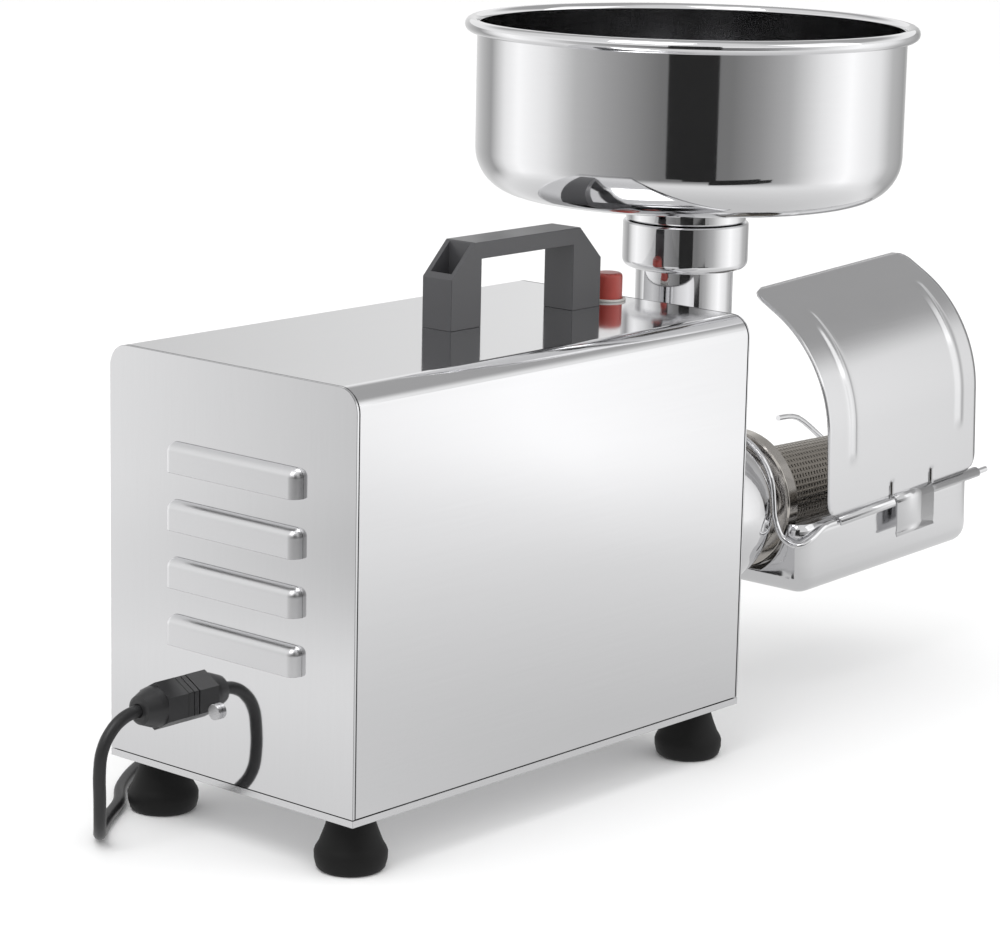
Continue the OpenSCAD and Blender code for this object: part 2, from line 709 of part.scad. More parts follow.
module shaft_seal() color("dimgray") at_axis() {
    x = out_boss_x + 1.6 + 2 * (out_bearing_w + 0.4);
    difference() {
        tube_x(x, x + 5, out_bearing_r, out_shaft_r + run_fit);
        tube_x(x + 1.5, x + 6, out_bearing_r - 2.5, out_shaft_r + 2);
    }
}

module run_capacitor() color("whitesmoke") translate([0, housing_w / 2 - 20, cover_z + 16.4]) {
    bar_x(rear_x + 68, rear_x + 126, 15);
    for (y = [-5, 5]) translate([0, y, 0]) slab(rear_x + 60, rear_x + 68 + tiny, -3, 3, -0.4, 0.4);
}

module capacitor_strap() color("silver") {
    translate([0, housing_w / 2 - 20, cover_z + 16.4]) tube_x(rear_x + 90, rear_x + 102, 16.4, 15 + run_fit);
    slab(rear_x + 90, rear_x + 102, housing_w / 2 - 41, housing_w / 2 - 20, cover_z, cover_z + 1.2);
}

module terminal_block() color("whitesmoke") difference() {
    slab(rear_x + 12, rear_x + 30, -31, 4, cover_z, cover_z + 15);
    for (y = [-25.5:8:0]) {
        translate([0, y, cover_z + 6]) bar_x(rear_x + 10, rear_x + 32, 2);
        translate([rear_x + 17, y, cover_z + 6]) cylinder(h = 12, r = 2);
        translate([rear_x + 25, y, cover_z + 6]) cylinder(h = 12, r = 2);
    }
}

function dome(r1, r2, x1, x2, n) = [for (i = [0:n]) [r2 + (r1 - r2) * cos(90 * i / n),
    x1 + (x2 - x1) * sin(90 * i / n)]];

module milling_body() color("silver") difference() {
    union() {
        at_axis() revolve_x() polygon(concat([[0, front_x], [flange_r, front_x],
            [flange_r, front_x + flange_t], [body_r, front_x + flange_t]],
            dome(body_r, neck_r, dome_x, neck_x, 10), [[neck_r, ring_x], [spigot_r, ring_x],
            [spigot_r, ring_x + spigot_l], [0, ring_x + spigot_l]]));
        for (a = [0, 180]) at_axis() rotate([a, 0, 0]) bayonet(spigot_r - 1, bayonet_r, bayonet_half,
            ring_x + spigot_l - bayonet_w, ring_x + spigot_l);
        translate([feed_x, 0, axis_z]) cylinder(h = collar_z2 - axis_z, r = feed_r);
        translate([feed_x, 0, axis_z + 30]) cylinder(h = 13, r1 = feed_r + 4, r2 = feed_r);
        translate([feed_x, 0, 0]) rotate_extrude() polygon(concat([[0, collar_z1]],
            bend([collar_r - 4, collar_z1 + 4], 4, -90, 0, 6),
            bend([collar_r - 1.2, collar_z2 - 1.2], 1.2, 0, 90, 3), [[0, collar_z2]]));
    }
    at_axis() revolve_x() polygon(concat([[0, front_x + flange_t], [body_r - body_t, front_x + flange_t]],
        dome(body_r - body_t, neck_bore, dome_x, neck_x - body_t, 10),
        [[neck_bore, ring_x + spigot_l + 1], [0, ring_x + spigot_l + 1]]));
    translate([feed_x, 0, axis_z]) cylinder(h = collar_z2, r = feed_r - feed_t);
    at_axis() bar_x(front_x - 1, front_x + 10, out_shaft_r + fit);
    flange_places() bar_x(front_x - 1, front_x + 10, screw_r + fit);
}

// A sector of a ring round the axis
module bayonet(r1, r2, half, x1, x2) intersection() {
    tube_x(x1, x2, r2, r1);
    extrude_x(x1 - 1, x2 + 1) polygon([[0, 0], 60 * [sin(-half), cos(half)], 60 * [sin(half), cos(half)]]);
}

module body_screws() color("silver") flange_places() {
    bar_x(front_x + flange_t, front_x + flange_t + 3, 4.4);
    bar_x(front_x - 9, front_x + flange_t + tiny, screw_r);
    difference() {
        hex_x(front_x - sheet_t - nut_h, front_x - sheet_t, nut_r);
        bar_x(front_x - 9, front_x, screw_r + run_fit);
    }
}

// Section of the auger: a round core with two opposite flights
module flight_section(r) {
    tip = asin(flight_t / 2 / r);
    root = asin(flight_t / 2 / core_r);
    half = [[core_r, -root], [r, -tip], [r, 0], [r, tip], [core_r, root],
        for (a = [36:27:144]) [core_r, a]];
    polygon([for (l = [0, 180]) for (p = half) p[0] * [cos(p[1] + l), sin(p[1] + l)]]);
}
module flights(x1, x2, k, turn) translate([x1, 0, 0]) rotate([90, 0, 90]) rotate(turn)
    linear_extrude(height = x2 - x1, twist = -360 * (x2 - x1) / auger_pitch,
        slices = ceil((x2 - x1) / 3), scale = k, $fn = 20) flight_section(flight_r);

module auger() color("white") at_axis() difference() {
    union() {
        flights(auger_x, screen_x, 1, 0);
        flights(screen_x - tiny, end_x - 3, (flight_r - screen_r1 + screen_r2) / flight_r,
            360 * (screen_x - auger_x) / auger_pitch);
    }
    hex_x(auger_x - 1, auger_x + hex_l + 0.5, hex_r + 0.1);
    bar_x(auger_x - 1, auger_x + 1.2, out_shaft_r + 0.2);
}

module strainer_ring() color("silver") at_axis() difference() {
    revolve_x() polygon([[spigot_r + fit, ring_x + fit], [ring_r - 0.8, ring_x + fit],
        [ring_r, ring_x + 1.1], [ring_r, screen_x - 1.5], [ring_r - 1.5, screen_x],
        [screen_r1 + run_fit, screen_x], [screen_r1 + run_fit, ring_x + spigot_l + 0.4],
        [bayonet_r + fit, ring_x + spigot_l + 0.4], [bayonet_r + fit, ring_x + spigot_l - bayonet_w - fit],
        [spigot_r + fit, ring_x + spigot_l - bayonet_w - fit]]);
    for (a = [0, 180]) rotate([a + twist_range, 0, 0]) bayonet(spigot_r - 1, bayonet_r + 2 * fit,
        bayonet_half + 1, ring_x - 1, ring_x + spigot_l - 1);
}

module strainer_screen() color("silver") at_axis() difference() {
    x0 = ring_x + spigot_l + 0.4;
    revolve_x() polygon([[neck_bore, x0], [screen_r1, x0], [screen_r1, screen_x], [screen_r2, end_x - 2.4],
        [screen_r2 + 0.5, end_x - 1.8], [screen_r2 + 0.5, end_x - 0.4], [screen_r2, end_x],
        [screen_r2 - screen_t, end_x], [neck_bore, screen_x]]);
    for (i = [0 : holes_along - 1]) for (k = [0 : holes_round - 1])
        translate([screen_x + 9 + i * (screen_l - 18) / (holes_along - 1), 0, 0])
            rotate([360 * (k + i % 2 / 2) / holes_round, 0, 0])
                translate([0, 0, screen_r2 - 5]) cylinder(h = 12, r = hole_r, $fn = 24);
}

// Route of the wire: near rail, round the neck, far rail, then the kicked end
function rail_point(x, y) = [rear_x + hem_x + x, y, rail_z + x * tan(rail_tilt)];
loop_r = neck_r + wire_r + fit;
wire_route = concat([rail_point(129, -rail_y), rail_point(90, -rail_y), rail_point(45, -rail_y),
    rail_point(4, -rail_y), rail_point(-10, -rail_y), [wire_x + 7, -rail_y + 0.5, 82.5],
    [wire_x + 1.5, 4 - rail_y, 80], [wire_x, 12 - rail_y, 83], [wire_x, -31, 92]],
    [for (a = [-90:15:90]) [wire_x, loop_r * sin(a), axis_z + 5 + loop_r * cos(a)]],
    [[wire_x, 31, 92], [wire_x, rail_y - 12, 83], [wire_x + 1.5, rail_y - 4, 80],
    [wire_x + 7, rail_y - 0.5, 82.5], rail_point(-10, rail_y), rail_point(4, rail_y),
    rail_point(60, rail_y), rail_point(120, rail_y), rail_point(125, rail_y + 2.5),
    rail_point(124, rail_y + 5.5) + [0, 0, 3], rail_point(104, rail_y + 5.5) + [0, 0, 16.5],
    rail_point(87, rail_y + 5.5) + [0, 0, 19.5]]);

module wire_rails() color("silver") swept(smooth(wire_route, 2), wire_r, [0, 0, 1], 10);

// Outline of a pan, rounded in plan and along its sloping bottom edges
module pan(x1, x2, y, z1, z2, r_corner, r_edge) intersection() {
    translate([0, 0, z1 - 6]) linear_extrude(z2 - z1 + 6) round_box(x1, x2, -y, y, r_corner);
    translate([x1, 0, z1]) rotate([0, tray_slope, 0]) {
        extrude_x(-5, x2 - x1 + 5) round_box(-y, y, 0, z2 - z1 + 20, r_edge);
        translate([0, y + 1, 0]) rotate([90, 0, 0]) linear_extrude(2 * y + 2)
            round_box(0, x2 - x1, 0, z2 - z1 + 20, r_edge);
    }
}
module round_box(x1, x2, y1, y2, r) {
    translate([x1 + r, y1]) square([x2 - x1 - 2 * r, y2 - y1]);
    translate([x1, y1 + r]) square([x2 - x1, y2 - y1 - 2 * r]);
    for (x = [x1 + r, x2 - r]) for (y = [y1 + r, y2 - r]) translate([x, y]) circle(r, $fn = 48);
}

wall_y = rail_y - hem_r + 0.1;
module drip_tray() color("gainsboro") {
    x1 = -tray_back;
    x2 = hem_l + tray_front;
    lip_z = wire_r + fit;
    difference() {
        on_rails() union() {
            difference() {
                union() {
                    pan(x1, x2, wall_y, -tray_d, lip_z + tray_t, tray_corner_r, tray_edge_r);
                    slab(x1 + 2, x2 - 2, wall_y - tray_t, rail_y + 2.5, lip_z, lip_z + tray_t);
                }
                pan(x1 + tray_t, x2 - tray_t, wall_y - tray_t, tray_t - tray_d, lip_z + 5,
                    tray_corner_r - tray_t, tray_edge_r - tray_t);
                slab(x1 - 5, x2 + 5, -rail_y - 5, tray_t - wall_y, 0, 20);
            }
            translate([0, -rail_y, 0]) difference() {
                bar_x(0, hem_l, hem_r);
                slab(-1, hem_l + 1, hem_r - 0.1, 5, -5, 5);
            }
        }
        on_rails() translate([0, -rail_y, 0]) bar_x(-1, hem_l + 1, wire_r + fit);
        at_axis() bar_x(rear_x + hem_x - tray_back - 5, rear_x + hem_x - 5, ring_r + 3.8);
        at_axis() bar_x(rear_x + hem_x + 60, end_x + 20, screen_r2 + 6);
    }
}

guard_y = -rail_y - 0.5;
guard_z = hem_r + fit;
module guard_section(t1, t2, from) {
    c = [guard_y + guard_r, guard_z + guard_rise];
    translate([guard_y - t1, from]) square([t1 + t2, guard_z + guard_rise - from]);
    intersection() {
        translate(c) difference() {
            circle(guard_r + t1);
            circle(guard_r - t2);
        }
        translate(c) polygon([[0, 0], [-200, 0], 200 * [-cos(guard_turn), sin(guard_turn)]]);
    }
    translate(c) rotate(-guard_turn) translate([-guard_r - t1, -tiny])
        square([t1 + t2, from > guard_z ? guard_lip / 2 : guard_lip]);
}
module splash_guard() color("lightgray") on_rails() {
    x1 = -guard_back;
    x2 = x1 + guard_l;
    clip_x = (x1 + x2) / 2 - clip_w / 2 + 7;
    clip_r = hem_r + fit;
    difference() {
        extrude_x(x1, x2) guard_section(tray_t / 2, tray_t / 2, guard_z);
        for (x = [x1, x2]) translate([x, guard_y, guard_z]) rotate([90, 0, 0]) translate([0, 0, -5])
            linear_extrude(10) difference() {
                square(16, center = true);
                translate([x == x1 ? 8 : -8, 8]) circle(8);
            }
        for (x = [clip_x - 2, clip_x + clip_w]) slab(x, x + 2, guard_y - 5, guard_y + 5, 0, guard_z + 8);
    }
    for (x = [x1 + 20, x2 - 15]) extrude_x(x - 2, x + 2) guard_section(tray_t / 2 + 1.1, 0, 24);
    extrude_x(clip_x, clip_x + clip_w) {
        intersection() {
            translate([-rail_y, 0]) difference() {
                circle(clip_r + tray_t);
                circle(clip_r);
            }
            translate([-rail_y - 10, 0]) square(10.2);
        }
        translate([-rail_y - clip_r - tray_t, -17]) square([tray_t, 17 + tiny]);
    }
}

function bend(c, r, a1, a2, n) = [for (i = [0:n]) let (a = a1 + (a2 - a1) * i / n) c + r * [cos(a), sin(a)]];

module hopper_bowl() color("silver") translate([feed_x, 0, 0]) rotate_extrude() {
    neck_z1 = collar_z2 + seam;
    c = [bowl_r - bowl_bend_r, wall_z];
    inner = spout_r - bowl_t;
    polygon(concat([[inner, neck_z1 - spout_l], [spout_r, neck_z1 - spout_l], [spout_r, neck_z1],
        [bowl_ring_r, neck_z1], [bowl_ring_r, bowl_neck_z]], bend(c, bowl_bend_r, -90, 0, 12),
        [[bowl_r, rim_z], [bowl_r - bowl_t, rim_z]], bend(c, bowl_bend_r - bowl_t, 0, -90, 12),
        [[inner, bowl_neck_z + bowl_t]]));
    translate([bowl_r + bead_r - 0.6 * bowl_t, rim_z]) difference() {
        circle(bead_r, $fn = 48);
        circle(bead_r - bowl_t, $fn = 48);
    }
}

module at_gland() translate([0, gland_y, gland_z]) children();

module gland_body() color("dimgray") at_gland() difference() {
    union() {
        hex_x(rear_x - flange_w, rear_x, gland_r);
        bar_x(rear_x - gland_l + 13, rear_x + 9, thread_r);
    }
    bar_x(rear_x - 20, rear_x + 12, lead_r + fit);
}

module gland_nut() color("dimgray") at_gland() difference() {
    union() {
        hex_x(rear_x - gland_l + 9.5, rear_x - flange_w - fit, gland_r);
        translate([rear_x - gland_l, 0, 0]) revolve_x() polygon([[0, 0], [4.6, 0], [6.2, 0.8],
            [8.4, 6.5], [9, 9.6], [0, 9.6]]);
    }
    bar_x(rear_x - 30, rear_x, lead_r + fit);
    bar_x(rear_x - gland_l + 12, rear_x, thread_r + run_fit);
}

module gland_locknut() color("dimgray") at_gland() difference() {
    hex_x(rear_x + sheet_t, rear_x + sheet_t + 5, 10);
    bar_x(rear_x, rear_x + 10, thread_r + run_fit);
}

// Route of the lead: out of the gland, down to the floor, past the far rear foot and into the coil
lead_z = lead_r + 0.15;
turn_pitch = lead_d - 0.2;
coil_side = coil_r + turn_pitch + lead_d + 0.1;
coil_join = 150;
drop_x = rear_x - gland_l - 0.4;
lead_way = [cos(lead_turn), sin(lead_turn), 0];
foot_side = [rear_x + foot_inset, housing_w / 2 - foot_inset, lead_z]
    + (foot_r + lead_r + 1) * [-lead_way[1], lead_way[0], 0];
lead_route = concat([[rear_x + 17, gland_y, gland_z], [rear_x, gland_y, gland_z],
    [drop_x + 10, gland_y, gland_z]],
    [for (a = [0:22.5:90]) [drop_x - lead_bend * sin(a), gland_y, gland_z - lead_bend * (1 - cos(a))]],
    [for (a = [0:22.5:90]) [drop_x - lead_bend, gland_y, lead_z + lead_bend * (1 - sin(a))]
        + lead_bend * (1 - cos(a)) * lead_way],
    [foot_side - [16.5, 11.5, 0], foot_side, foot_side + [14, 14, 0], foot_side + [33, 27.5, 0],
    foot_side + [53, 38, 0], [coil_x - 45.7, coil_y + 2.6, lead_z],
    [coil_x + coil_side * cos(coil_join), coil_y + coil_side * sin(coil_join), lead_z]]);
plug_x = coil_x + 34;
plug_y = coil_y + coil_side;
tail_route = [[coil_x, plug_y, lead_z], [coil_x + 8, plug_y, lead_z + 0.3],
    [coil_x + 16, plug_y, lead_z + 2.6], [coil_x + 24, plug_y, 8.9], [plug_x - 3, plug_y, 10.8],
    [plug_x + 4, plug_y, 11], [plug_x + 14, plug_y, 11]];

module power_lead() color("dimgray") {
    swept(smooth(lead_route, 2), lead_r, [0, 0, 1], 10);
    swept(smooth(tail_route, 2), lead_r, [0, 0, 1], 10);
}

module lead_coil() color("dimgray") translate([coil_x, coil_y, lead_z]) rotate_extrude() {
    for (k = [-1, 0, 1]) translate([coil_r + k * turn_pitch, 0]) circle(lead_r, $fn = 16);
    for (k = [-0.5, 0.5]) translate([coil_r + k * turn_pitch, lead_d - 1]) circle(lead_r, $fn = 16);
}

module lead_plug() color("dimgray") difference() {
    union() {
        slab(plug_x + 12, plug_x + 36, plug_y - 12, plug_y + 12, tiny, 22);
        translate([0, plug_y, 11]) bar_x(plug_x + 4, plug_x + 13, 5.5);
    }
    translate([0, plug_y, 11]) bar_x(plug_x, plug_x + 15, lead_r + 0.1);
}

module plug_pins() color("gold") translate([0, plug_y, 11]) {
    for (s = [-1, 1]) slab(plug_x + 36, plug_x + 52, s * 6.35 - 0.75, s * 6.35 + 0.75, -1, 5.3);
    translate([0, 0, -6]) bar_x(plug_x + 36, plug_x + 55, 2.4);
}

base_plate();
housing_cover();
rear_panel();
front_panel();
rubber_feet();
foot_screws();
foot_nuts();
carrying_handle();
handle_screws();
handle_nuts();
button_bezel();
button_nut();
switch_body();
start_button();
earth_screw();
motor_cradle();
motor_stator();
stator_windings();
rear_end_bell();
front_end_bell();
motor_tie_rods();
motor_bearings();
rotor_core();
rotor_shaft();
cooling_fan();
motor_pinion();
gearbox_case();
gearbox_cover();
gearbox_screws();
gearbox_bearings();
second_shaft();
first_gear();
second_pinion();
output_gear();
output_shaft();
shaft_seal();
run_capacitor();
capacitor_strap();
terminal_block();
milling_body();
body_screws();
auger();
strainer_ring();
strainer_screen();
wire_rails();
drip_tray();
splash_guard();
hopper_bowl();
gland_body();
gland_nut();
gland_locknut();
power_lead();
lead_coil();
lead_plug();
plug_pins();
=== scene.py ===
import json
import math

import bmesh
import bpy
from bpy.props import FloatProperty, FloatVectorProperty, IntProperty, PointerProperty
from mathutils import Matrix, Vector


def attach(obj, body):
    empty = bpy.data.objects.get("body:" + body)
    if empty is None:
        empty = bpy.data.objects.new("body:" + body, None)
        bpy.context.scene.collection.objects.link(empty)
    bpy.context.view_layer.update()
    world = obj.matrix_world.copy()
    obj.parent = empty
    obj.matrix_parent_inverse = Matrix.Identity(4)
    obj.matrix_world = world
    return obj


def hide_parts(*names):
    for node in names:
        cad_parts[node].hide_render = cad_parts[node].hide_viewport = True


bl_info = {
    "name": "Electric tomato press",
    "version": (1, 0, 0),
    "blender": (4, 5, 0),
    "location": "View3D > Sidebar > Tomato press",
    "description": "Builds the looks of an electric tomato press around its solids",
    "category": "Object",
}

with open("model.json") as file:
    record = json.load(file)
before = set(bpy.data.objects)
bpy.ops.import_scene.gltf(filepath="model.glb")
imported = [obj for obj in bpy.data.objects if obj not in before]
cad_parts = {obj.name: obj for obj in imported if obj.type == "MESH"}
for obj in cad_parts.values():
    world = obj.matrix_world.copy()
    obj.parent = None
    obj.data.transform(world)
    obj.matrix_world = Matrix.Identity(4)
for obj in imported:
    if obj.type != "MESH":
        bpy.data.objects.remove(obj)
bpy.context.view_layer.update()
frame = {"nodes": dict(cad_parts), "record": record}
NODES = frame["nodes"]
MM = 0.001

# Shared places of the press, in millimetres
REAR_X = -245.0
FEED_X = 53.5
AXIS_Z = 95.0
NECK_X = 89.0
SCREEN_X = 106.0
END_X = 250.0
RIM_Z = 326.8
RAIL_X = 118.3
RAIL_Y = 48.0
RAIL_Z = 88.3
RAIL_TILT = math.radians(3.1)
CAMERA_TURN = math.atan2(-0.6416, -0.7372)
GLAND = Vector((REAR_X, 29.4, 57.4))
GLAND_L = 24.0
LEAD_R = 2.75
LEAD_Z = LEAD_R + 0.15
COIL = Vector((-130.0, 118.0, LEAD_Z))
COIL_SIDE = 40.9
GUARD_SHEET = 0.9


# Shader groups


def new_group(name, inputs, outputs):
    """A shader node group with named sockets, its nodes, and its input and output nodes."""
    tree = bpy.data.node_groups.new(name, "ShaderNodeTree")
    for label, kind, value in inputs:
        socket = tree.interface.new_socket(name=label, in_out="INPUT", socket_type=kind)
        socket.default_value = value
    for label, kind in outputs:
        tree.interface.new_socket(name=label, in_out="OUTPUT", socket_type=kind)
    return tree, tree.nodes.new("NodeGroupInput"), tree.nodes.new("NodeGroupOutput")


def add_node(tree, kind, links=(), **values):
    """A node with its properties set, its sockets filled with values and its links made."""
    node = tree.nodes.new(kind)
    for key, value in values.items():
        if hasattr(node, key):
            setattr(node, key, value)
        else:
            node.inputs[key.replace("_", " ").title()].default_value = value
    for source, target in links:
        tree.links.new(source, node.inputs[target])
    return node


def brushed_sheet_group():
    """Fine straight grain of rolled and polished sheet, with soft smears of handling."""
    tree, given, out = new_group(
        "Rolled sheet grain",
        [("Grain Scale", "NodeSocketFloat", 900.0), ("Grain Depth", "NodeSocketFloat", 0.05),
         ("Base Roughness", "NodeSocketFloat", 0.1), ("Smear", "NodeSocketFloat", 0.06),
         ("Stretch", "NodeSocketVector", (0.02, 1.0, 1.0))],
        [("Roughness", "NodeSocketFloat"), ("Height", "NodeSocketFloat"), ("Shade", "NodeSocketFloat")])
    place = tree.nodes.new("ShaderNodeTexCoord")
    stretched = add_node(tree, "ShaderNodeVectorMath", [(place.outputs["Object"], 0),
                         (given.outputs["Stretch"], 1)], operation="MULTIPLY")
    grain = add_node(tree, "ShaderNodeTexNoise", [(stretched.outputs[0], "Vector"),
                     (given.outputs["Grain Scale"], "Scale")], detail=4.0)
    smear = add_node(tree, "ShaderNodeTexNoise", [(place.outputs["Object"], "Vector")], scale=18.0,
                     detail=3.0)
    centred = add_node(tree, "ShaderNodeMath", [(grain.outputs["Fac"], 0)], operation="SUBTRACT")
    centred.inputs[1].default_value = 0.5
    rise = add_node(tree, "ShaderNodeMath", [(centred.outputs[0], 0), (given.outputs["Grain Depth"], 1)],
                    operation="MULTIPLY")
    smear_centred = add_node(tree, "ShaderNodeMath", [(smear.outputs["Fac"], 0)], operation="SUBTRACT")
    smear_centred.inputs[1].default_value = 0.45
    dull = add_node(tree, "ShaderNodeMath", [(smear_centred.outputs[0], 0), (given.outputs["Smear"], 1),
                    (given.outputs["Base Roughness"], 2)], operation="MULTIPLY_ADD")
    rough = add_node(tree, "ShaderNodeMath", [(rise.outputs[0], 0), (dull.outputs[0], 1)],
                     operation="ADD", use_clamp=True)
    shade = add_node(tree, "ShaderNodeMapRange", [(grain.outputs["Fac"], 0)])
    shade.inputs[3].default_value = 0.97
    shade.inputs[4].default_value = 1.0
    tree.links.new(rough.outputs[0], out.inputs["Roughness"])
    tree.links.new(rise.outputs[0], out.inputs["Height"])
    tree.links.new(shade.outputs[0], out.inputs["Shade"])
    return tree


def mottle_group():
    """Small irregular mottle of moulded, cast or painted surfaces."""
    tree, given, out = new_group(
        "Moulded mottle",
        [("Scale", "NodeSocketFloat", 400.0), ("Depth", "NodeSocketFloat", 0.2),
         ("Base Roughness", "NodeSocketFloat", 0.45), ("Spread", "NodeSocketFloat", 0.15)],
        [("Roughness", "NodeSocketFloat"), ("Height", "NodeSocketFloat"), ("Shade", "NodeSocketFloat")])
    place = tree.nodes.new("ShaderNodeTexCoord")
    fine = add_node(tree, "ShaderNodeTexNoise", [(place.outputs["Object"], "Vector"),
                    (given.outputs["Scale"], "Scale")], detail=5.0)
    broad = add_node(tree, "ShaderNodeTexNoise", [(place.outputs["Object"], "Vector")], scale=30.0,
                     detail=2.0)
    centred = add_node(tree, "ShaderNodeMath", [(broad.outputs["Fac"], 0)], operation="SUBTRACT")
    centred.inputs[1].default_value = 0.5
    rough = add_node(tree, "ShaderNodeMath", [(centred.outputs[0], 0), (given.outputs["Spread"], 1),
                     (given.outputs["Base Roughness"], 2)], operation="MULTIPLY_ADD", use_clamp=True)
    height = add_node(tree, "ShaderNodeMath", [(fine.outputs["Fac"], 0), (given.outputs["Depth"], 1)],
                      operation="MULTIPLY")
    shade = add_node(tree, "ShaderNodeMapRange", [(broad.outputs["Fac"], 0)])
    shade.inputs[3].default_value = 0.9
    shade.inputs[4].default_value = 1.05
    tree.links.new(rough.outputs[0], out.inputs["Roughness"])
    tree.links.new(height.outputs[0], out.inputs["Height"])
    tree.links.new(shade.outputs[0], out.inputs["Shade"])
    return tree


def finish_material(name, colour, group, values, metallic, bump, **shader):
    """A Principled material whose colour, roughness and relief come from one of the groups."""
    material = bpy.data.materials.new(name)
    material.use_nodes = True
    tree = material.node_tree
    bsdf = tree.nodes["Principled BSDF"]
    bsdf.inputs["Metallic"].default_value = metallic
    for key, value in shader.items():
        bsdf.inputs[key.replace("_", " ")].default_value = value
    effect = tree.nodes.new("ShaderNodeGroup")
    effect.node_tree = group
    for key, value in values.items():
        effect.inputs[key].default_value = value
    tint = add_node(tree, "ShaderNodeMix", data_type="RGBA", blend_type="MULTIPLY")
    tint.inputs[0].default_value = 1.0
    tint.inputs[6].default_value = (*colour, 1.0)
    tree.links.new(effect.outputs["Shade"], tint.inputs[7])
    tree.links.new(tint.outputs[2], bsdf.inputs["Base Color"])
    tree.links.new(effect.outputs["Roughness"], bsdf.inputs["Roughness"])
    raised = tree.nodes.new("ShaderNodeBump")
    raised.inputs["Strength"].default_value = bump
    raised.inputs["Distance"].default_value = 0.0002
    tree.links.new(effect.outputs["Height"], raised.inputs["Height"])
    tree.links.new(raised.outputs["Normal"], bsdf.inputs["Normal"])
    return material


MATERIALS = {}


def sheet_metal(name, colour, rough, grain=900.0, depth=0.05, smear=0.06, stretch=(0.02, 1, 1), bump=0.04):
    return finish_material(name, colour, bpy.data.node_groups["Rolled sheet grain"], {
        "Grain Scale": grain, "Grain Depth": depth, "Base Roughness": rough, "Smear": smear,
        "Stretch": stretch}, 1.0, bump)


def moulded(name, colour, rough, scale=400.0, depth=0.2, spread=0.12, bump=0.15, **shader):
    return finish_material(name, colour, bpy.data.node_groups["Moulded mottle"], {
        "Scale": scale, "Depth": depth, "Base Roughness": rough, "Spread": spread}, 0.0, bump, **shader)


def cast(name, colour, rough, scale=600.0, bump=0.3):
    return finish_material(name, colour, bpy.data.node_groups["Moulded mottle"], {
        "Scale": scale, "Depth": 0.3, "Base Roughness": rough, "Spread": 0.12}, 1.0, bump)


# Shapes


def filleted(corners, steps=5):
    """Outline through (x, y, radius) corners, each rounded by its radius."""
    outline = []
    for i, (x, y, radius) in enumerate(corners):
        here = Vector((x, y))
        if radius <= 0:
            outline.append(here)
            continue
        a = (Vector(corners[i - 1][:2]) - here).normalized()
        b = (Vector(corners[(i + 1) % len(corners)][:2]) - here).normalized()
        half = a.angle(b) / 2
        centre = here + (a + b).normalized() * radius / math.sin(half)
        start = here + a * radius / math.tan(half) - centre
        end = here + b * radius / math.tan(half) - centre
        turn = start.angle(end)
        for k in range(steps + 1):
            t = k / steps
            outline.append(centre + (start * math.sin((1 - t) * turn) + end * math.sin(t * turn))
                           / math.sin(turn))
    return outline


def spun(profile, axis, centre, steps=144, closed=True, mesh=None):
    """A (radius, height) profile in millimetres, turned round an axis through centre."""
    bm = mesh or bmesh.new()
    middle = Vector(centre)
    spots = [bm.verts.new(middle + (Vector((r, 0, h)) if axis == "Z" else Vector((h, 0, r))))
             for r, h in profile]
    edges = [bm.edges.new(pair) for pair in zip(spots, spots[1:])]
    if closed:
        edges.append(bm.edges.new((spots[-1], spots[0])))
    bmesh.ops.spin(bm, geom=spots + edges, cent=middle, dvec=(0, 0, 0), angle=2 * math.pi, steps=steps,
                   axis=(0, 0, 1) if axis == "Z" else (1, 0, 0), use_merge=True)
    return bm


def swept_round(path, radius, sides=12, mesh=None):
    """A round wire along a path in millimetres."""
    bm = mesh or bmesh.new()
    heading = (path[1] - path[0]).normalized()
    turn = Vector((0, 0, 1)).rotation_difference(heading)
    made = bmesh.ops.create_circle(bm, cap_ends=True, radius=radius, segments=sides,
                                   matrix=Matrix.Translation(path[0]) @ turn.to_matrix().to_4x4())
    edges = list({edge for vert in made["verts"] for edge in vert.link_edges})
    for i in range(1, len(path)):
        after = (path[min(i + 1, len(path) - 1)] - path[i - 1]).normalized()
        grown = bmesh.ops.extrude_edge_only(bm, edges=edges)["geom"]
        verts = [item for item in grown if isinstance(item, bmesh.types.BMVert)]
        edges = [item for item in grown if isinstance(item, bmesh.types.BMEdge)]
        bmesh.ops.translate(bm, verts=verts, vec=path[i] - path[i - 1])
        bmesh.ops.rotate(bm, verts=verts, cent=path[i],
                         matrix=heading.rotation_difference(after).to_matrix())
        heading = after
    bmesh.ops.contextual_create(bm, geom=edges)
    return bm


def body_of_node(node):
    for body, nodes in frame["record"]["behaviour"]["bodies"].items():
        if node in nodes:
            return body
    raise RuntimeError(f"no body holds {node}")


def finished(bm, name, material, nodes, scale=MM, sharp=32.0):
    """The object of a finished mesh: it rides on, and stands for, the given solids."""
    bmesh.ops.remove_doubles(bm, verts=bm.verts, dist=1e-5 / scale * MM)
    bmesh.ops.recalc_face_normals(bm, faces=bm.faces)
    bmesh.ops.scale(bm, verts=bm.verts, vec=(scale, scale, scale))
    name = name.lower().replace(" ", "_")
    mesh = bpy.data.meshes.new(name)
    bm.to_mesh(mesh)
    bm.free()
    mesh.shade_smooth()
    mesh.set_sharp_from_angle(angle=math.radians(sharp))
    mesh.materials.append(MATERIALS[material])
    piece = bpy.data.objects.new(name, mesh)
    bpy.context.scene.collection.objects.link(piece)
    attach(piece, body_of_node(nodes[0]))
    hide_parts(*nodes)
    return piece


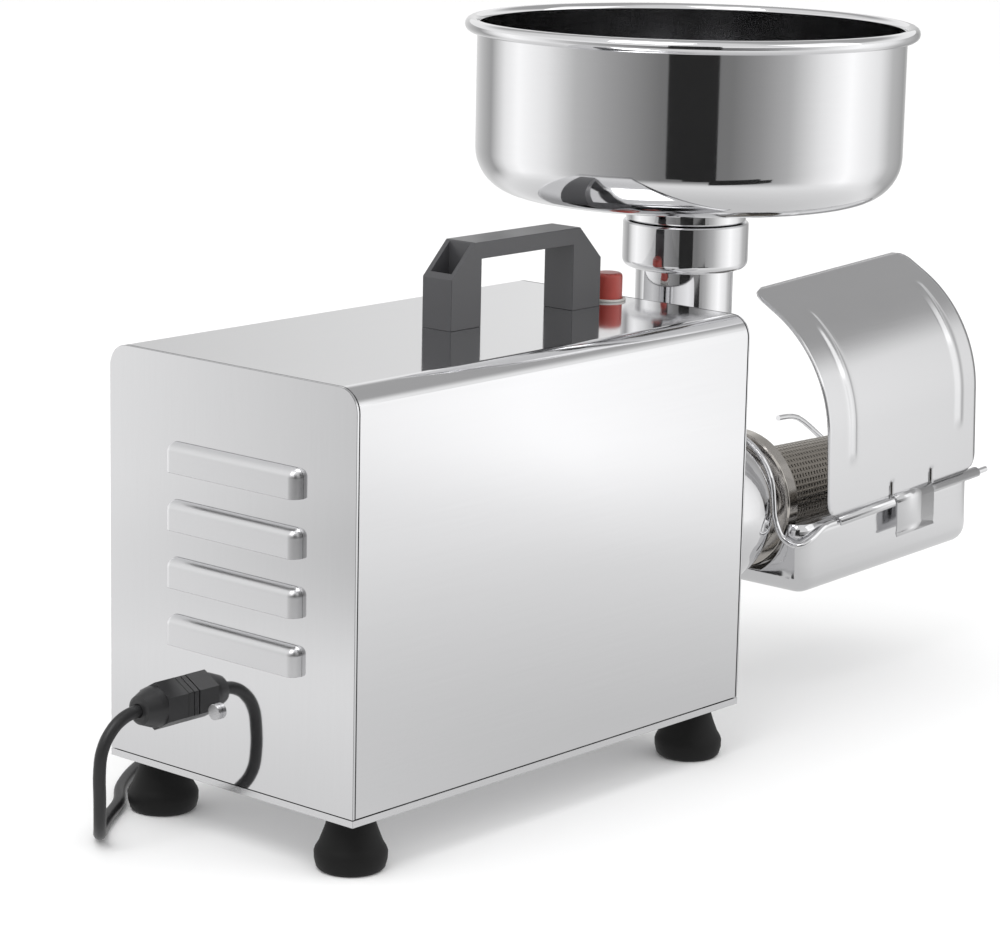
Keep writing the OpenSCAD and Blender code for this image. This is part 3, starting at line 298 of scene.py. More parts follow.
def bevelled(piece, width, segments=2, angle=40.0):
    bevel = piece.modifiers.new("Soft edges", "BEVEL")
    bevel.width = width
    bevel.segments = segments
    bevel.limit_method = "ANGLE"
    bevel.angle_limit = math.radians(angle)
    bevel.use_clamp_overlap = True
    even = piece.modifiers.new("Even shading", "WEIGHTED_NORMAL")
    even.keep_sharp = True
    return piece


def softened(node, name, material, width, segments=2, angle=40.0, sharp=32.0, rim=None):
    """The solid of a node with its edges softened; where rim names a material, the softened edges take it,
    and the dark edge material paints shade along them.
    """
    bm = bmesh.new()
    bm.from_mesh(NODES[node].data)
    bmesh.ops.remove_doubles(bm, verts=bm.verts, dist=1e-6)
    bmesh.ops.dissolve_limit(bm, angle_limit=math.radians(0.6), verts=bm.verts, edges=bm.edges)
    piece = finished(bm, name, material, [node], scale=1.0, sharp=sharp)
    bevelled(piece, width, segments, angle)
    if rim:
        piece.data.materials.append(MATERIALS[rim])
        piece.modifiers["Soft edges"].material = 1
    return piece


def on_rails(bm):
    """Moves a mesh from the frame of the rails, in millimetres, to the row frame."""
    bmesh.ops.transform(bm, verts=bm.verts, matrix=Matrix.Translation((RAIL_X, 0, RAIL_Z))
                        @ Matrix.Rotation(-RAIL_TILT, 4, "Y"))


def pulled_strip(bm, line, x, length):
    """A strip of sheet: a (y, z) line pulled along X."""
    verts = [bm.verts.new((x, y, z)) for y, z in line]
    edges = [bm.edges.new(pair) for pair in zip(verts, verts[1:])]
    grown = bmesh.ops.extrude_edge_only(bm, edges=edges)["geom"]
    bmesh.ops.translate(bm, verts=[item for item in grown if isinstance(item, bmesh.types.BMVert)],
                        vec=(length, 0, 0))


def walled(piece, thickness, offset=0.0):
    """Gives a surface the thickness of its sheet, in metres."""
    wall = piece.modifiers.new("Sheet", "SOLIDIFY")
    wall.thickness = thickness
    wall.offset = offset


class PressSizes(bpy.types.PropertyGroup):
    """Sizes of the press's looks that a user would change."""

    edge: FloatProperty(name="Edge radius", description="Radius of the softened edges of sheet parts",
                        default=0.0005, min=0.0001, max=0.002, unit="LENGTH")
    holes_round: IntProperty(name="Holes round the screen", description="Rows of holes round the screen",
                             default=44, min=24, max=80)
    holes_along: IntProperty(name="Holes along the screen", description="Holes in each row of the screen",
                             default=58, min=30, max=110)


class PressColours(bpy.types.PropertyGroup):
    """Colours of the press that a user would change."""

    steel: FloatVectorProperty(name="Steel", description="Colour of the polished sheet steel",
                               subtype="COLOR", size=3, default=(0.80, 0.80, 0.81), min=0, max=1)
    button: FloatVectorProperty(name="Button", description="Colour of the start button",
                                subtype="COLOR", size=3, default=(0.5, 0.08, 0.065), min=0, max=1)
    handle: FloatVectorProperty(name="Handle", description="Colour of the carrying handle",
                                subtype="COLOR", size=3, default=(0.06, 0.06, 0.064), min=0, max=1)


class PRESS_OT_materials(bpy.types.Operator):
    """Makes the finishes and puts them on the solids"""

    bl_idname = "press.materials"
    bl_label = "Finishes"

    def execute(self, context):
        colours = context.scene.press_colours
        brushed_sheet_group()
        mottle_group()
        steel = tuple(colours.steel)
        made = {
            "cover_steel": sheet_metal("Polished cover sheet", steel, 0.075),
            "mirror_steel": sheet_metal("Mirror polished steel", steel, 0.04, smear=0.03,
                                        stretch=(1, 1, 0.05), depth=0.02),
            "satin_steel": sheet_metal("Satin pressed sheet", steel, 0.2, depth=0.08),
            # The tray's steel is the same steel dimmed to 0.92: painted shade.
            "shaded_tray_steel": sheet_metal("Deep drawn sheet with painted shade", tuple(0.92 * part for part in steel), 0.1,
                                      depth=0.06),
            # The guard's steel is the same steel dimmed to 0.88: painted shade for the guard's darker look.
            "shaded_guard_steel": sheet_metal("Rolled guard sheet with painted shade", tuple(0.88 * part for part in steel), 0.17,
                                       depth=0.08),
            "spun_steel": sheet_metal("Polished spun steel", steel, 0.06, grain=1600.0, depth=0.04,
                                      stretch=(0.05, 0.05, 1.0)),
            "screen_steel": sheet_metal("Strainer sheet", (0.36, 0.33, 0.29), 0.24, smear=0.1),
            "ring_steel": sheet_metal("Turned ring steel", (0.6, 0.57, 0.53), 0.14, stretch=(1, 0.05, 0.05)),
            "edge_shade": sheet_metal("Sheet edge with painted shade", (0.14, 0.14, 0.145), 0.35, depth=0.1),
            # Dark steel for the softened edges of the sheet parts: painted shade along the edges.
            "louvre_steel": sheet_metal("Pressed louvre sheet", steel, 0.34, smear=0.1),
            "bright_screw": sheet_metal("Bright screw head", (0.95, 0.95, 0.95), 0.32, smear=0.1),
            "fastener_steel": sheet_metal("Zinc plated steel", (0.62, 0.62, 0.63), 0.28, smear=0.1),
            "cast_metal": cast("Cast alloy", (0.58, 0.59, 0.6), 0.42),
            "shaft_steel": sheet_metal("Ground shaft steel", (0.6, 0.6, 0.62), 0.2, stretch=(1, 0.05, 0.05)),
            "lamination_steel": sheet_metal("Stacked laminations", (0.3, 0.31, 0.33), 0.4, grain=700.0,
                                            depth=0.3, stretch=(1, 0.01, 0.01), bump=0.4),
            "winding_varnish": moulded("Varnished winding", (0.35, 0.1, 0.03), 0.25, scale=900.0, bump=0.6,
                                       Coat_Weight=0.6),
            "gear_plastic": moulded("Gear plastic", (0.75, 0.62, 0.38), 0.4),
            "handle_plastic": moulded("Handle plastic", tuple(colours.handle), 0.3, scale=900.0, depth=0.3,
                                      bump=0.25),
            "red_plastic": moulded("Button plastic", tuple(colours.button), 0.3),
            "pale_plastic": moulded("Pale plastic", (0.7, 0.69, 0.66), 0.35),
            "dark_plastic": moulded("Dark plastic", (0.02, 0.02, 0.021), 0.38),
            "auger_plastic": moulded("Auger plastic", (0.82, 0.8, 0.74), 0.4, scale=300.0),
            "rubber": moulded("Black rubber", (0.006, 0.006, 0.006), 0.6, scale=500.0, depth=0.5, bump=0.4,
                             Specular_IOR_Level=0.25),
            "cord_rubber": moulded("Lead sheath", (0.016, 0.016, 0.017), 0.4, scale=300.0),
            "brass": sheet_metal("Brass", (0.78, 0.6, 0.26), 0.2),
        }
        MATERIALS.update(made)
        slots = {"housing_steel": "cover_steel", "polished_steel": "spun_steel"}
        chosen = {"rear_panel": "mirror_steel", "splash_guard": "satin_steel", "drip_tray": "satin_steel",
                  "base_plate": "satin_steel", "wire_rails": "mirror_steel"}
        for part in frame["record"]["subparts"]:
            node, slot = part["node"], part["material_slot"]
            material = MATERIALS[chosen.get(node, slots.get(slot, slot))]
            mesh = NODES[node].data
            mesh.materials.clear()
            mesh.materials.append(material)
        return {"FINISHED"}


def smooth_path(points, steps):
    """Points on a smooth line through the given ones."""
    line = []
    last = len(points) - 1
    for i in range(last):
        a, b = points[max(i - 1, 0)], points[i]
        c, d = points[i + 1], points[min(i + 2, last)]
        for k in range(steps):
            t = k / steps
            line.append(0.5 * (2 * b + (c - a) * t + (2 * a - 5 * b + 4 * c - d) * t * t
                               + (3 * b - a - 3 * c + d) * t * t * t))
    line.append(points[-1])
    return line


def lead_line():
    """Points of the power lead from the gland to the plug, in millimetres."""
    bend = 21.0
    way = Vector((math.cos(math.radians(48)), math.sin(math.radians(48)), 0))
    drop = Vector((REAR_X - GLAND_L - 0.4, GLAND.y, 0))
    quarter = [math.radians(a) for a in (0, 22.5, 45, 67.5, 90)]
    points = [GLAND.copy(), Vector((drop.x + 10, GLAND.y, GLAND.z))]
    points += [Vector((drop.x - bend * math.sin(a), GLAND.y, GLAND.z - bend * (1 - math.cos(a))))
               for a in quarter]
    points += [Vector((drop.x - bend, GLAND.y, LEAD_Z + bend * (1 - math.sin(a))))
               + way * bend * (1 - math.cos(a)) for a in quarter]
    foot = Vector((-229.3, 56.3, LEAD_Z)) + 19.15 * Vector((-way.y, way.x, 0))
    points += [foot + Vector((x, y, 0)) for x, y in ((-16.5, -11.5), (0, 0), (14, 14), (33, 27.5), (53, 38))]
    points.append(COIL + Vector((-45.7, 2.6, 0)))
    points += coil_line(math.radians(150))
    points += [Vector((COIL.x + x, COIL.y + COIL_SIDE, z))
               for x, z in ((9, 8.7), (18, 9.4), (27, 10.5), (34, 10.9), (41, 11), (48, 11))]
    return points


def coil_line(start):
    """Points of the coil: three turns inwards on the floor, then outwards on top of them."""
    steps = 18
    layer = 5.6
    inner = COIL_SIDE - 3 * layer
    climb = 6
    upper = 2 * steps + steps // 6 - climb
    line = []
    for i in range(3 * steps + climb + upper + 1):
        angle = start - 2 * math.pi * i / steps
        risen = min(max((i - 3 * steps) / climb, 0), 1)
        if i <= 3 * steps:
            radius = COIL_SIDE - layer * i / steps
        else:
            radius = inner + (COIL_SIDE - inner) * max(i - 3 * steps - climb, 0) / upper
        line.append(COIL + Vector((radius * math.cos(angle), radius * math.sin(angle),
                                   layer * risen * risen * (3 - 2 * risen))))
    return line


class PRESS_OT_lead(bpy.types.Operator):
    """Makes the power lead, from the gland to the plug, as one curve"""

    bl_idname = "press.lead"
    bl_label = "Power lead"

    def execute(self, context):
        points = lead_line()
        curve = bpy.data.curves.new("power_lead_line", "CURVE")
        curve.dimensions = "3D"
        curve.bevel_depth = LEAD_R * MM
        curve.bevel_resolution = 4
        curve.resolution_u = 4
        curve.use_fill_caps = True
        spline = curve.splines.new("BEZIER")
        spline.bezier_points.add(len(points) - 1)
        for point, place in zip(spline.bezier_points, points):
            point.co = place * MM
            point.handle_left_type = point.handle_right_type = "AUTO"
        curve.materials.append(MATERIALS["cord_rubber"])
        lead = bpy.data.objects.new("power_lead_curve", curve)
        context.scene.collection.objects.link(lead)
        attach(lead, "machine")
        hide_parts("power_lead", "lead_coil")
        plug = softened("lead_plug", "Plug", "cord_rubber", 0.0015)
        return {"FINISHED"}


# Brightness that reflections see round the press, by degrees to the right of the camera
TENT_SHADES = ((-180, 0.85), (-161, 0.69), (-134, 0.39), (-118, 0.97), (-105, 1.2), (-83, 0.96), (-64, 0.56),
               (-47, 0.41), (-16, 0.2), (21, 0.21), (36, 0.33), (52, 0.51), (70, 0.94), (89, 1.25),
               (98, 1.12), (113, 0.95), (127, 0.56), (148, 0.38), (180, 0.85))


def stage_piece(bm, name):
    """A piece of the stage, which is no part of the press."""
    mesh = bpy.data.meshes.new(name)
    bm.to_mesh(mesh)
    bm.free()
    piece = bpy.data.objects.new(name, mesh)
    bpy.context.scene.collection.objects.link(piece)
    return piece


def only_mirrored(piece):
    """Hides a stage piece from all but reflections."""
    piece.visible_camera = False
    piece.visible_diffuse = False
    piece.visible_transmission = False
    piece.visible_volume_scatter = False
    piece.visible_shadow = False


class PRESS_OT_stage(bpy.types.Operator):
    """Makes the floor, the light and the camera at the photograph's angle"""

    bl_idname = "press.stage"
    bl_label = "Stage"

    def execute(self, context):
        scene = context.scene
        camera_data = bpy.data.cameras.new("Photograph camera")
        camera_data.lens = 122.4
        camera_data.sensor_width = 36.0
        camera_data.clip_end = 50.0
        camera = bpy.data.objects.new("Photograph camera", camera_data)
        scene.collection.objects.link(camera)
        forward = Vector((0.7372, 0.6416, -0.212)).normalized()
        right = forward.cross(Vector((0, 0, 1))).normalized()
        up = right.cross(forward)
        roll = math.radians(1.2)
        turned = right * math.cos(roll) + up * math.sin(roll)
        above = turned.cross(forward)
        camera.matrix_world = Matrix((
            (turned.x, above.x, -forward.x, -1.1995), (turned.y, above.y, -forward.y, -0.9778),
            (turned.z, above.z, -forward.z, 0.4619), (0, 0, 0, 1)))
        scene.camera = camera
        grid = bmesh.new()
        bmesh.ops.create_grid(grid, x_segments=1, y_segments=1, size=30.0)
        floor = stage_piece(grid, "Floor")
        white = bpy.data.materials.new("White floor")
        white.use_nodes = True
        paint = white.node_tree.nodes["Principled BSDF"]
        paint.inputs["Base Color"].default_value = (0.93, 0.93, 0.93, 1)
        paint.inputs["Roughness"].default_value = 0.9
        floor.data.materials.append(white)
        for name, place, size, power in (
                ("Key light", (-1.3, -0.2, 2.2), 1.2, 14.0), ("Fill light", (0.9, -2.0, 1.7), 1.8, 8.0)):
            light_data = bpy.data.lights.new(name, "AREA")
            light_data.size = size
            light_data.energy = power
            light = bpy.data.objects.new(name, light_data)
            light.location = place
            aim = Vector((0, 0, 0.12)) - Vector(place)
            light.rotation_euler = aim.to_track_quat("-Z", "Y").to_euler()
            scene.collection.objects.link(light)
        self.surround()
        self.dark_cards()
        self.sky(scene)
        scene.view_settings.view_transform = "Standard"
        return {"FINISHED"}

    def surround(self):
        """The tent that only reflections see: a pale floor sheet and a wall, shaded round the heading, with a
        painted shadow of the press on the floor sheet near it.
        """
        tent = bmesh.new()
        spots = [tent.verts.new(place) for place in ((0.02, 0, 0.0005), (0.9, 0, 0.0005), (0.9, 0, 0.46))]
        edges = [tent.edges.new(pair) for pair in zip(spots, spots[1:])]
        bmesh.ops.spin(tent, geom=spots + edges, cent=(0, 0, 0), axis=(0, 0, 1), angle=2 * math.pi,
                       steps=180, use_merge=True)
        piece = stage_piece(tent, "Mirrored tent")
        only_mirrored(piece)
        material = bpy.data.materials.new("Tent shades")
        material.use_nodes = True
        tree = material.node_tree
        tree.nodes.clear()
        place = tree.nodes.new("ShaderNodeTexCoord")
        turned = add_node(tree, "ShaderNodeMapping", [(place.outputs["Object"], "Vector")])
        turned.inputs["Rotation"].default_value = (0, 0, -CAMERA_TURN)
        heading = add_node(tree, "ShaderNodeTexGradient", [(turned.outputs[0], "Vector")],
                           gradient_type="RADIAL")
        ramp = add_node(tree, "ShaderNodeValToRGB", [(heading.outputs["Fac"], "Fac")])
        stops = ramp.color_ramp.elements
        while len(stops) > 1:
            stops.remove(stops[-1])
        for i, (turn, value) in enumerate(TENT_SHADES):
            stop = stops[0] if i == 0 else stops.new(0.5 + turn / 360)
            stop.position = 0.5 + turn / 360
            stop.color = (value / 1.25, value / 1.25, value / 1.25, 1)
        flat = add_node(tree, "ShaderNodeVectorMath", [(place.outputs["Object"], 0)], operation="MULTIPLY")
        flat.inputs[1].default_value = (1, 1, 0)
        reach = add_node(tree, "ShaderNodeVectorMath", [(flat.outputs[0], 0)], operation="LENGTH")
        # The floor sheet is darker near the press: a painted shadow of the press that reflections see.
        near = add_node(tree, "ShaderNodeMapRange", [(reach.outputs["Value"], 0)])
        far = add_node(tree, "ShaderNodeMapRange", [(reach.outputs["Value"], 0)],
                       interpolation_type="SMOOTHSTEP")
        for node, low, high, start, end in ((near, 0.15, 0.5, 0.52, 0.72), (far, 0.42, 0.78, 0.0, 1.0)):
            for i, value in enumerate((low, high, start, end)):
                node.inputs[i + 1].default_value = value
        shade = add_node(tree, "ShaderNodeMix", [(far.outputs[0], 0), (near.outputs[0], 6),
                         (ramp.outputs["Color"], 7)], data_type="RGBA")
        glow = add_node(tree, "ShaderNodeEmission", [(shade.outputs[2], "Color")])
        glow.inputs["Strength"].default_value = 1.25
        out = tree.nodes.new("ShaderNodeOutputMaterial")
        tree.links.new(glow.outputs[0], out.inputs["Surface"])
        piece.data.materials.append(material)

    def dark_cards(self):
        """The dark uprights beside the camera that the bowl, the collar and the spout mirror."""
        toward = Vector((math.cos(CAMERA_TURN), math.sin(CAMERA_TURN), 0))
        right = Vector((-toward.y, toward.x, 0))
        middle = Vector((FEED_X * MM, 0, 0)) + toward * 0.6
        cards = bmesh.new()
        for low, high, left, far in ((0.0, 0.074, 0.08, 0.51), (0.074, 0.105, -0.06, 0.40),
                                     (0.105, 0.55, -0.145, 0.115)):
            corners = [middle + right * x + Vector((0, 0, z))
                       for x, z in ((left, low), (far, low), (far, high), (left, high))]
            cards.faces.new([cards.verts.new(corner) for corner in corners])
        piece = stage_piece(cards, "Dark cards")
        only_mirrored(piece)
        black = bpy.data.materials.new("Black card")
        black.use_nodes = True
        black.node_tree.nodes["Principled BSDF"].inputs["Base Color"].default_value = (0.01, 0.01, 0.01, 1)
        black.node_tree.nodes["Principled BSDF"].inputs["Roughness"].default_value = 1.0
        piece.data.materials.append(black)

    def sky(self, scene):
        """White surroundings; reflections see them grow dark overhead."""
        world = bpy.data.worlds.new("Studio")
        scene.world = world
        world.use_nodes = True
        tree = world.node_tree
        tree.nodes.clear()
        out = tree.nodes.new("ShaderNodeOutputWorld")
        path = tree.nodes.new("ShaderNodeLightPath")
        place = tree.nodes.new("ShaderNodeTexCoord")
        parts = add_node(tree, "ShaderNodeSeparateXYZ", [(place.outputs["Generated"], 0)])
        overhead = add_node(tree, "ShaderNodeMapRange", [(parts.outputs[2], 0)],
                            interpolation_type="SMOOTHSTEP")
        ahead = add_node(tree, "ShaderNodeMapRange", [(parts.outputs[0], 0)], interpolation_type="SMOOTHSTEP")
        for node, values in ((overhead, (0.34, 0.58, 0.0, 1.0)), (ahead, (-0.15, 0.3, 0.8, 0.42))):
            for i, value in enumerate(values):
                node.inputs[i + 1].default_value = value
        level = add_node(tree, "ShaderNodeMix", [(overhead.outputs[0], 0), (ahead.outputs[0], 3)])
        level.inputs[2].default_value = 0.95
        mirrored = add_node(tree, "ShaderNodeBackground", [(level.outputs[0], "Color")])
        seen = add_node(tree, "ShaderNodeBackground")
        seen.inputs["Color"].default_value = (1, 1, 1, 1)
        lit = add_node(tree, "ShaderNodeBackground")
        lit.inputs["Color"].default_value = (1, 1, 1, 1)
        lit.inputs["Strength"].default_value = 1.1
        glossy = add_node(tree, "ShaderNodeMixShader", [(path.outputs["Is Glossy Ray"], 0),
                          (lit.outputs[0], 1), (mirrored.outputs[0], 2)])
        direct = add_node(tree, "ShaderNodeMath", [(path.outputs["Is Camera Ray"], 0),
                          (path.outputs["Is Transmission Ray"], 1)], operation="MAXIMUM")
        final = add_node(tree, "ShaderNodeMixShader", [(direct.outputs[0], 0), (glossy.outputs[0], 1),
                         (seen.outputs[0], 2)])
        tree.links.new(final.outputs[0], out.inputs["Surface"])


class PRESS_OT_bowl(bpy.types.Operator):
    """Makes the spun hopper bowl with its rolled rim, neck ring and spout"""

    bl_idname = "press.bowl"
    bl_label = "Hopper bowl"

    def execute(self, context):
        outline = filleted([(20.2, 211.2, 0), (21.2, 211.2, 0), (21.2, 237.2, 0.4), (28.2, 237.2, 1.0),
                            (28.2, 244.7, 1.6), (99.8, 250.6, 21.0), (99.8, 327.5, 0), (98.8, 327.5, 0),
                            (98.8, 251.6, 20.0), (20.2, 245.1, 2.0)], steps=10)
        bm = spun(outline, "Z", (FEED_X, 0, 0), steps=160)
        bead = [(102.4 + 3.2 * math.cos(a), RIM_Z + 3.2 * math.sin(a))
                for a in (math.pi * k / 8 for k in range(16))]
        spun(bead, "Z", (FEED_X, 0, 0), steps=160, mesh=bm)
        finished(bm, "Hopper bowl", "spun_steel", ["hopper_bowl"])
        return {"FINISHED"}


def guard_point(s, x, out):
    """A point of the splash guard, s along its section from the bottom edge, out from its middle."""
    foot, rise, radius, turn = 3.0, 42.0, 65.0, math.radians(59)
    y, z = -RAIL_Y - 0.5, foot
    if s <= rise:
        return (x, y - out, z + s)
    centre = (y + radius, z + rise)
    arc = min((s - rise) / radius, turn)
    beyond = s - rise - radius * arc
    side, up = -math.cos(arc), math.sin(arc)
    reach = radius + out
    return (x, centre[0] + side * reach + math.sin(arc) * beyond,
            centre[1] + up * reach + math.cos(arc) * beyond)


class PRESS_OT_guard(bpy.types.Operator):
    """Makes the curved splash guard with its pressed ribs and its clip"""

    bl_idname = "press.guard"
    bl_label = "Splash guard"

    def execute(self, context):
        length, start, tall = 126.0, -8.4, 42.0 + 65.0 * math.radians(59) + 18.0
        columns, rows = 63, 64
        ribs = (start + 20.0, start + length - 15.0)
        radius, rib_half, rib_rise, rib_low, rib_high, rib_end = 8.0, 2.8, 1.1, 24.0, 105.0, 4.0
        bm = bmesh.new()
        bmesh.ops.create_grid(bm, x_segments=columns, y_segments=rows, size=0.5)
        slots = [face for face in bm.faces
                 if face.calc_center_median().y < -0.5 + 8.0 / tall
                 and int((face.calc_center_median().x + 0.5) * columns) in (26, 43)]
        bmesh.ops.delete(bm, geom=slots, context="FACES")
        places = []
        for vert in bm.verts:
            u, s = vert.co.x + 0.5, (vert.co.y + 0.5) * tall
            edge = min(s, tall - s)
            half = length / 2
            if edge < radius:
                half -= radius - math.sqrt(max(radius ** 2 - (radius - edge) ** 2, 0))
            x = start + length * u
            middle = start + length / 2
            squeezed = middle + math.copysign(min(abs(x - middle), half), x - middle)
            rise = 0.0
            for rib in ribs:
                across = abs(squeezed - rib)
                if across < rib_half and rib_low < s < rib_high:
                    ends = min(1.0, (s - rib_low) / rib_end, (rib_high - s) / rib_end)
                    rise += rib_rise * ends * math.cos(across / rib_half * math.pi / 2) ** 2
            places.append((vert, guard_point(s, squeezed, rise)))
        for vert, place in places:
            vert.co = place
        on_rails(bm)
        guard = finished(bm, "Splash guard", "shaded_guard_steel", ["splash_guard"], sharp=50.0)
        walled(guard, GUARD_SHEET * MM)
        clip = bmesh.new()
        line = [(-48.5, 6.0), (-48.5, 3.6)]
        line += [(-48.0 - 3.45 * math.sin(a), 3.45 * math.cos(a))
                 for a in (math.radians(d) for d in range(20, 91, 10))]
        line += [(-51.45, -6.0), (-51.4, -12.0), (-51.0, -15.5), (-51.6, -17.0)]
        pulled_strip(clip, line, 45.9, 31.4)
        on_rails(clip)
        tab = finished(clip, "Guard clip", "shaded_guard_steel", ["splash_guard"], sharp=60.0)
        walled(tab, GUARD_SHEET * MM)
        return {"FINISHED"}


class PRESS_OT_screen(bpy.types.Operator):
    """Makes the conical screen with its rows of holes"""

    bl_idname = "press.screen"
    bl_label = "Strainer screen"

    def execute(self, context):
        sizes = context.scene.press_sizes
        start, end = SCREEN_X + 1.5, END_X - 4.0
        slope = (21.6 - 18.0) / (END_X - SCREEN_X)

        def radius(x):
            return 21.6 - slope * (x - SCREEN_X)

        bm = bmesh.new()
        bmesh.ops.create_grid(bm, x_segments=sizes.holes_along, y_segments=sizes.holes_round, size=0.5)
        for vert in bm.verts:
            x = start + (end - start) * (vert.co.x + 0.5)
            turn = 2 * math.pi * (vert.co.y + 0.5)
            vert.co = (x, radius(x) * math.sin(turn), AXIS_Z + radius(x) * math.cos(turn))
        bmesh.ops.remove_doubles(bm, verts=bm.verts, dist=1e-4)
        bmesh.ops.recalc_face_normals(bm, faces=bm.faces)
        cells = list(bm.faces)
        bmesh.ops.inset_individual(bm, faces=cells, thickness=0.62, use_even_offset=True)
        bmesh.ops.delete(bm, geom=cells, context="FACES_ONLY")
        screen = finished(bm, "Perforated screen", "screen_steel", ["strainer_screen"], sharp=50.0)
        walled(screen, 0.0008, -1.0)
        ends = spun([(20.4, 103.4), (21.6, 103.4), (21.6, SCREEN_X), (radius(start), start),
                     (radius(start) - 1.2, start), (20.4, SCREEN_X)], "X", (0, 0, AXIS_Z), steps=96)
        spun(filleted([(radius(end) - 1.1, end, 0), (radius(end), end, 0), (18.1, END_X - 2.4, 0.3),
                       (18.5, END_X - 1.8, 0.3), (18.5, END_X - 0.2, 0.3), (16.9, END_X - 0.2, 0.3)]),
             "X", (0, 0, AXIS_Z), steps=96, mesh=ends)
        finished(ends, "Screen ends", "screen_steel", ["strainer_screen"])
        return {"FINISHED"}


class PRESS_OT_tray(bpy.types.Operator):
    """Makes the pressed tray with its round corners, its hem on the near rail and its far lip"""

    bl_idname = "press.tray"
    bl_label = "Drip tray"

    def execute(self, context):
        back, front, side, top, sheet = -24.05, 121.25, 44.95, 2.2, 0.9
        corner, edge, fall = 10.0, 9.0, math.tan(math.radians(1.2))
        notch_z, notch_r = AXIS_Z - RAIL_Z, 36.5
        around = []
        for x, y, start in ((front - corner, side - corner, 0), (back + corner, side - corner, 90),
                            (back + corner, corner - side, 180), (front - corner, corner - side, 270)):
            for step in range(9):
                turn = math.radians(start + 90 * step / 8)
                around.append((Vector((x, y, 0)), Vector((math.cos(turn), math.sin(turn), 0))))
        columns = []
        for i, (centre, way) in enumerate(around):
            columns.append((centre + way * corner, way))
            after, next_way = around[(i + 1) % len(around)]
            if (after - centre).length > 1:
                here, there = centre + way * corner, after + next_way * corner
                columns += [(here.lerp(there, k / 24), way) for k in range(1, 24)]
        bm = bmesh.new()
        rings = []
        for spot, way in columns:
            floor = -33.0 - (spot.x - back) * fall
            brim = top
            if spot.x < back + corner and abs(spot.y) < notch_r:
                brim = min(top, notch_z - math.sqrt(notch_r ** 2 - spot.y ** 2))
            line = []
            for k in range(7):
                turn = math.pi / 2 * k / 6
                line.append(spot - way * edge * (1 - math.sin(turn))
                            + Vector((0, 0, floor + edge * (1 - math.cos(turn)))))
            rise = floor + edge
            wall = max(brim, rise + 0.2) - rise
            line += [spot + Vector((0, 0, rise + wall * k / 4)) for k in range(1, 5)]
            rings.append([bm.verts.new(point) for point in line])
        for here, there in zip(rings, rings[1:] + rings[:1]):
            for k in range(len(here) - 1):
                bm.faces.new((here[k], there[k], there[k + 1], here[k + 1]))
        bm.faces.new([ring[0] for ring in rings])
        hem = [(-RAIL_Y + 2.5 * math.cos(a), 2.5 * math.sin(a))
               for a in (math.radians(d) for d in range(-10, 211, 20))]
        pulled_strip(bm, hem, 0.0, 120.0)
        pulled_strip(bm, [(side - 0.3, top), (RAIL_Y + 2.4, top)], back + 2, front - back - 4)
        on_rails(bm)
        tray = finished(bm, "Drip tray", "shaded_tray_steel", ["drip_tray"], sharp=60.0)
        walled(tray, sheet * MM)
        return {"FINISHED"}


class PRESS_OT_rails(bpy.types.Operator):
    """Makes the bent wire that carries the tray"""

    bl_idname = "press.rails"
    bl_label = "Wire rails"

    def execute(self, context):
        wire = NECK_X + 1.8
        loop = 29.8

        def rail(x, side):
            return (RAIL_X + x, side * RAIL_Y, RAIL_Z + x * math.tan(RAIL_TILT))

        near = [rail(129, -1), rail(90, -1), rail(45, -1), rail(4, -1), rail(-10, -1)]
        near += [(wire + 7, -47.5, 82.5), (wire + 1.5, -44, 80), (wire, -36, 83), (wire, -31, 92)]
        over = [(wire, loop * math.sin(a), AXIS_Z + 5 + loop * math.cos(a))
                for a in (math.radians(d) for d in range(-90, 91, 15))]
        far = [(x, -y, z) for x, y, z in reversed(near[4:])] + [rail(4, 1), rail(60, 1), rail(120, 1)]
        kick = [(125, 2.5, 0), (124, 5.5, 3), (104, 5.5, 16.5), (87, 5.5, 19.5)]
        far += [tuple(Vector(rail(x, 1)) + Vector((0, y, z))) for x, y, z in kick]
        path = smooth_path([Vector(point) for point in near + over + far], 4)
        finished(swept_round(path, 1.5), "Wire rails", "mirror_steel", ["wire_rails"])
        return {"FINISHED"}


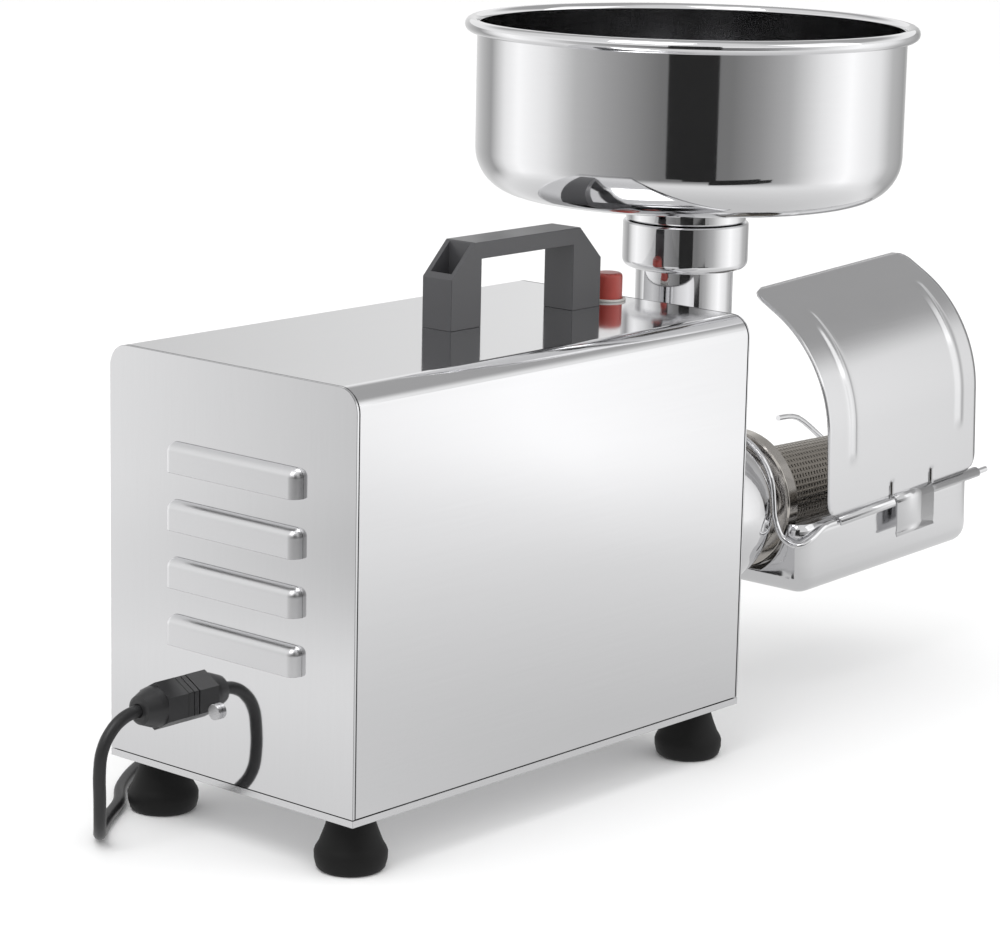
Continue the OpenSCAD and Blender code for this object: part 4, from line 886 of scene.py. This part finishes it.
class PRESS_OT_softened(bpy.types.Operator):
    """Softens the edges of the pressed, moulded and turned parts"""

    bl_idname = "press.softened"
    bl_label = "Pressed and moulded parts"

    def execute(self, context):
        for node, name, material in (
                ("rear_panel", "Rear panel", "mirror_steel"),
                ("housing_cover", "Housing cover", "cover_steel"),
                ("front_panel", "Front panel", "mirror_steel"), ("base_plate", "Base plate", "satin_steel")):
            # The softened edges of these sheet parts take the dark edge material: painted shade along them.
            piece = softened(node, name, material, context.scene.press_sizes.edge, rim="edge_shade")
            if node == "rear_panel":
                piece.data.materials.append(MATERIALS["louvre_steel"])
                for face in piece.data.polygons:
                    if face.center.x < (REAR_X - 0.05) * MM:
                        face.material_index = 2
        for node, name, material, width in (
                ("carrying_handle", "Carrying handle", "handle_plastic", 0.0009),
                ("start_button", "Start button", "red_plastic", 0.0008),
                ("button_bezel", "Button ring", "pale_plastic", 0.0005),
                ("rubber_feet", "Rubber feet", "rubber", 0.0006),
                ("gland_nut", "Gland nut", "dark_plastic", 0.0004),
                ("gland_body", "Gland body", "dark_plastic", 0.0004),
                ("handle_screws", "Handle screws", "bright_screw", 0.0008),
                ("earth_screw", "Earthing screw", "fastener_steel", 0.0006),
                ("body_screws", "Flange screws", "fastener_steel", 0.0005),
                ("strainer_ring", "Strainer ring", "ring_steel", 0.0004),
                ("milling_body", "Milling body", "spun_steel", 0.0006)):
            softened(node, name, material, width)
        return {"FINISHED"}


class PRESS_PT_panel(bpy.types.Panel):
    bl_idname = "PRESS_PT_panel"
    bl_label = "Tomato press"
    bl_space_type = "VIEW_3D"
    bl_region_type = "UI"
    bl_category = "Tomato press"

    def draw(self, context):
        layout = self.layout
        for group in (context.scene.press_sizes, context.scene.press_colours):
            for name in group.__annotations__:
                layout.prop(group, name)
        for operator in OPERATORS:
            layout.operator(operator.bl_idname)


OPERATORS = (PRESS_OT_materials, PRESS_OT_stage, PRESS_OT_lead, PRESS_OT_bowl, PRESS_OT_guard,
             PRESS_OT_screen, PRESS_OT_tray, PRESS_OT_rails, PRESS_OT_softened)
CLASSES = (PressSizes, PressColours, *OPERATORS, PRESS_PT_panel)


def register():
    for cls in CLASSES:
        bpy.utils.register_class(cls)
    bpy.types.Scene.press_sizes = PointerProperty(type=PressSizes)
    bpy.types.Scene.press_colours = PointerProperty(type=PressColours)


def unregister():
    del bpy.types.Scene.press_sizes
    del bpy.types.Scene.press_colours
    for cls in reversed(CLASSES):
        bpy.utils.unregister_class(cls)


def main():
    register()
    bpy.ops.press.materials()
    bpy.ops.press.stage()
    bpy.ops.press.lead()
    bpy.ops.press.bowl()
    bpy.ops.press.guard()
    bpy.ops.press.screen()
    bpy.ops.press.tray()
    bpy.ops.press.rails()
    bpy.ops.press.softened()


if __name__ == "__main__":
    main()
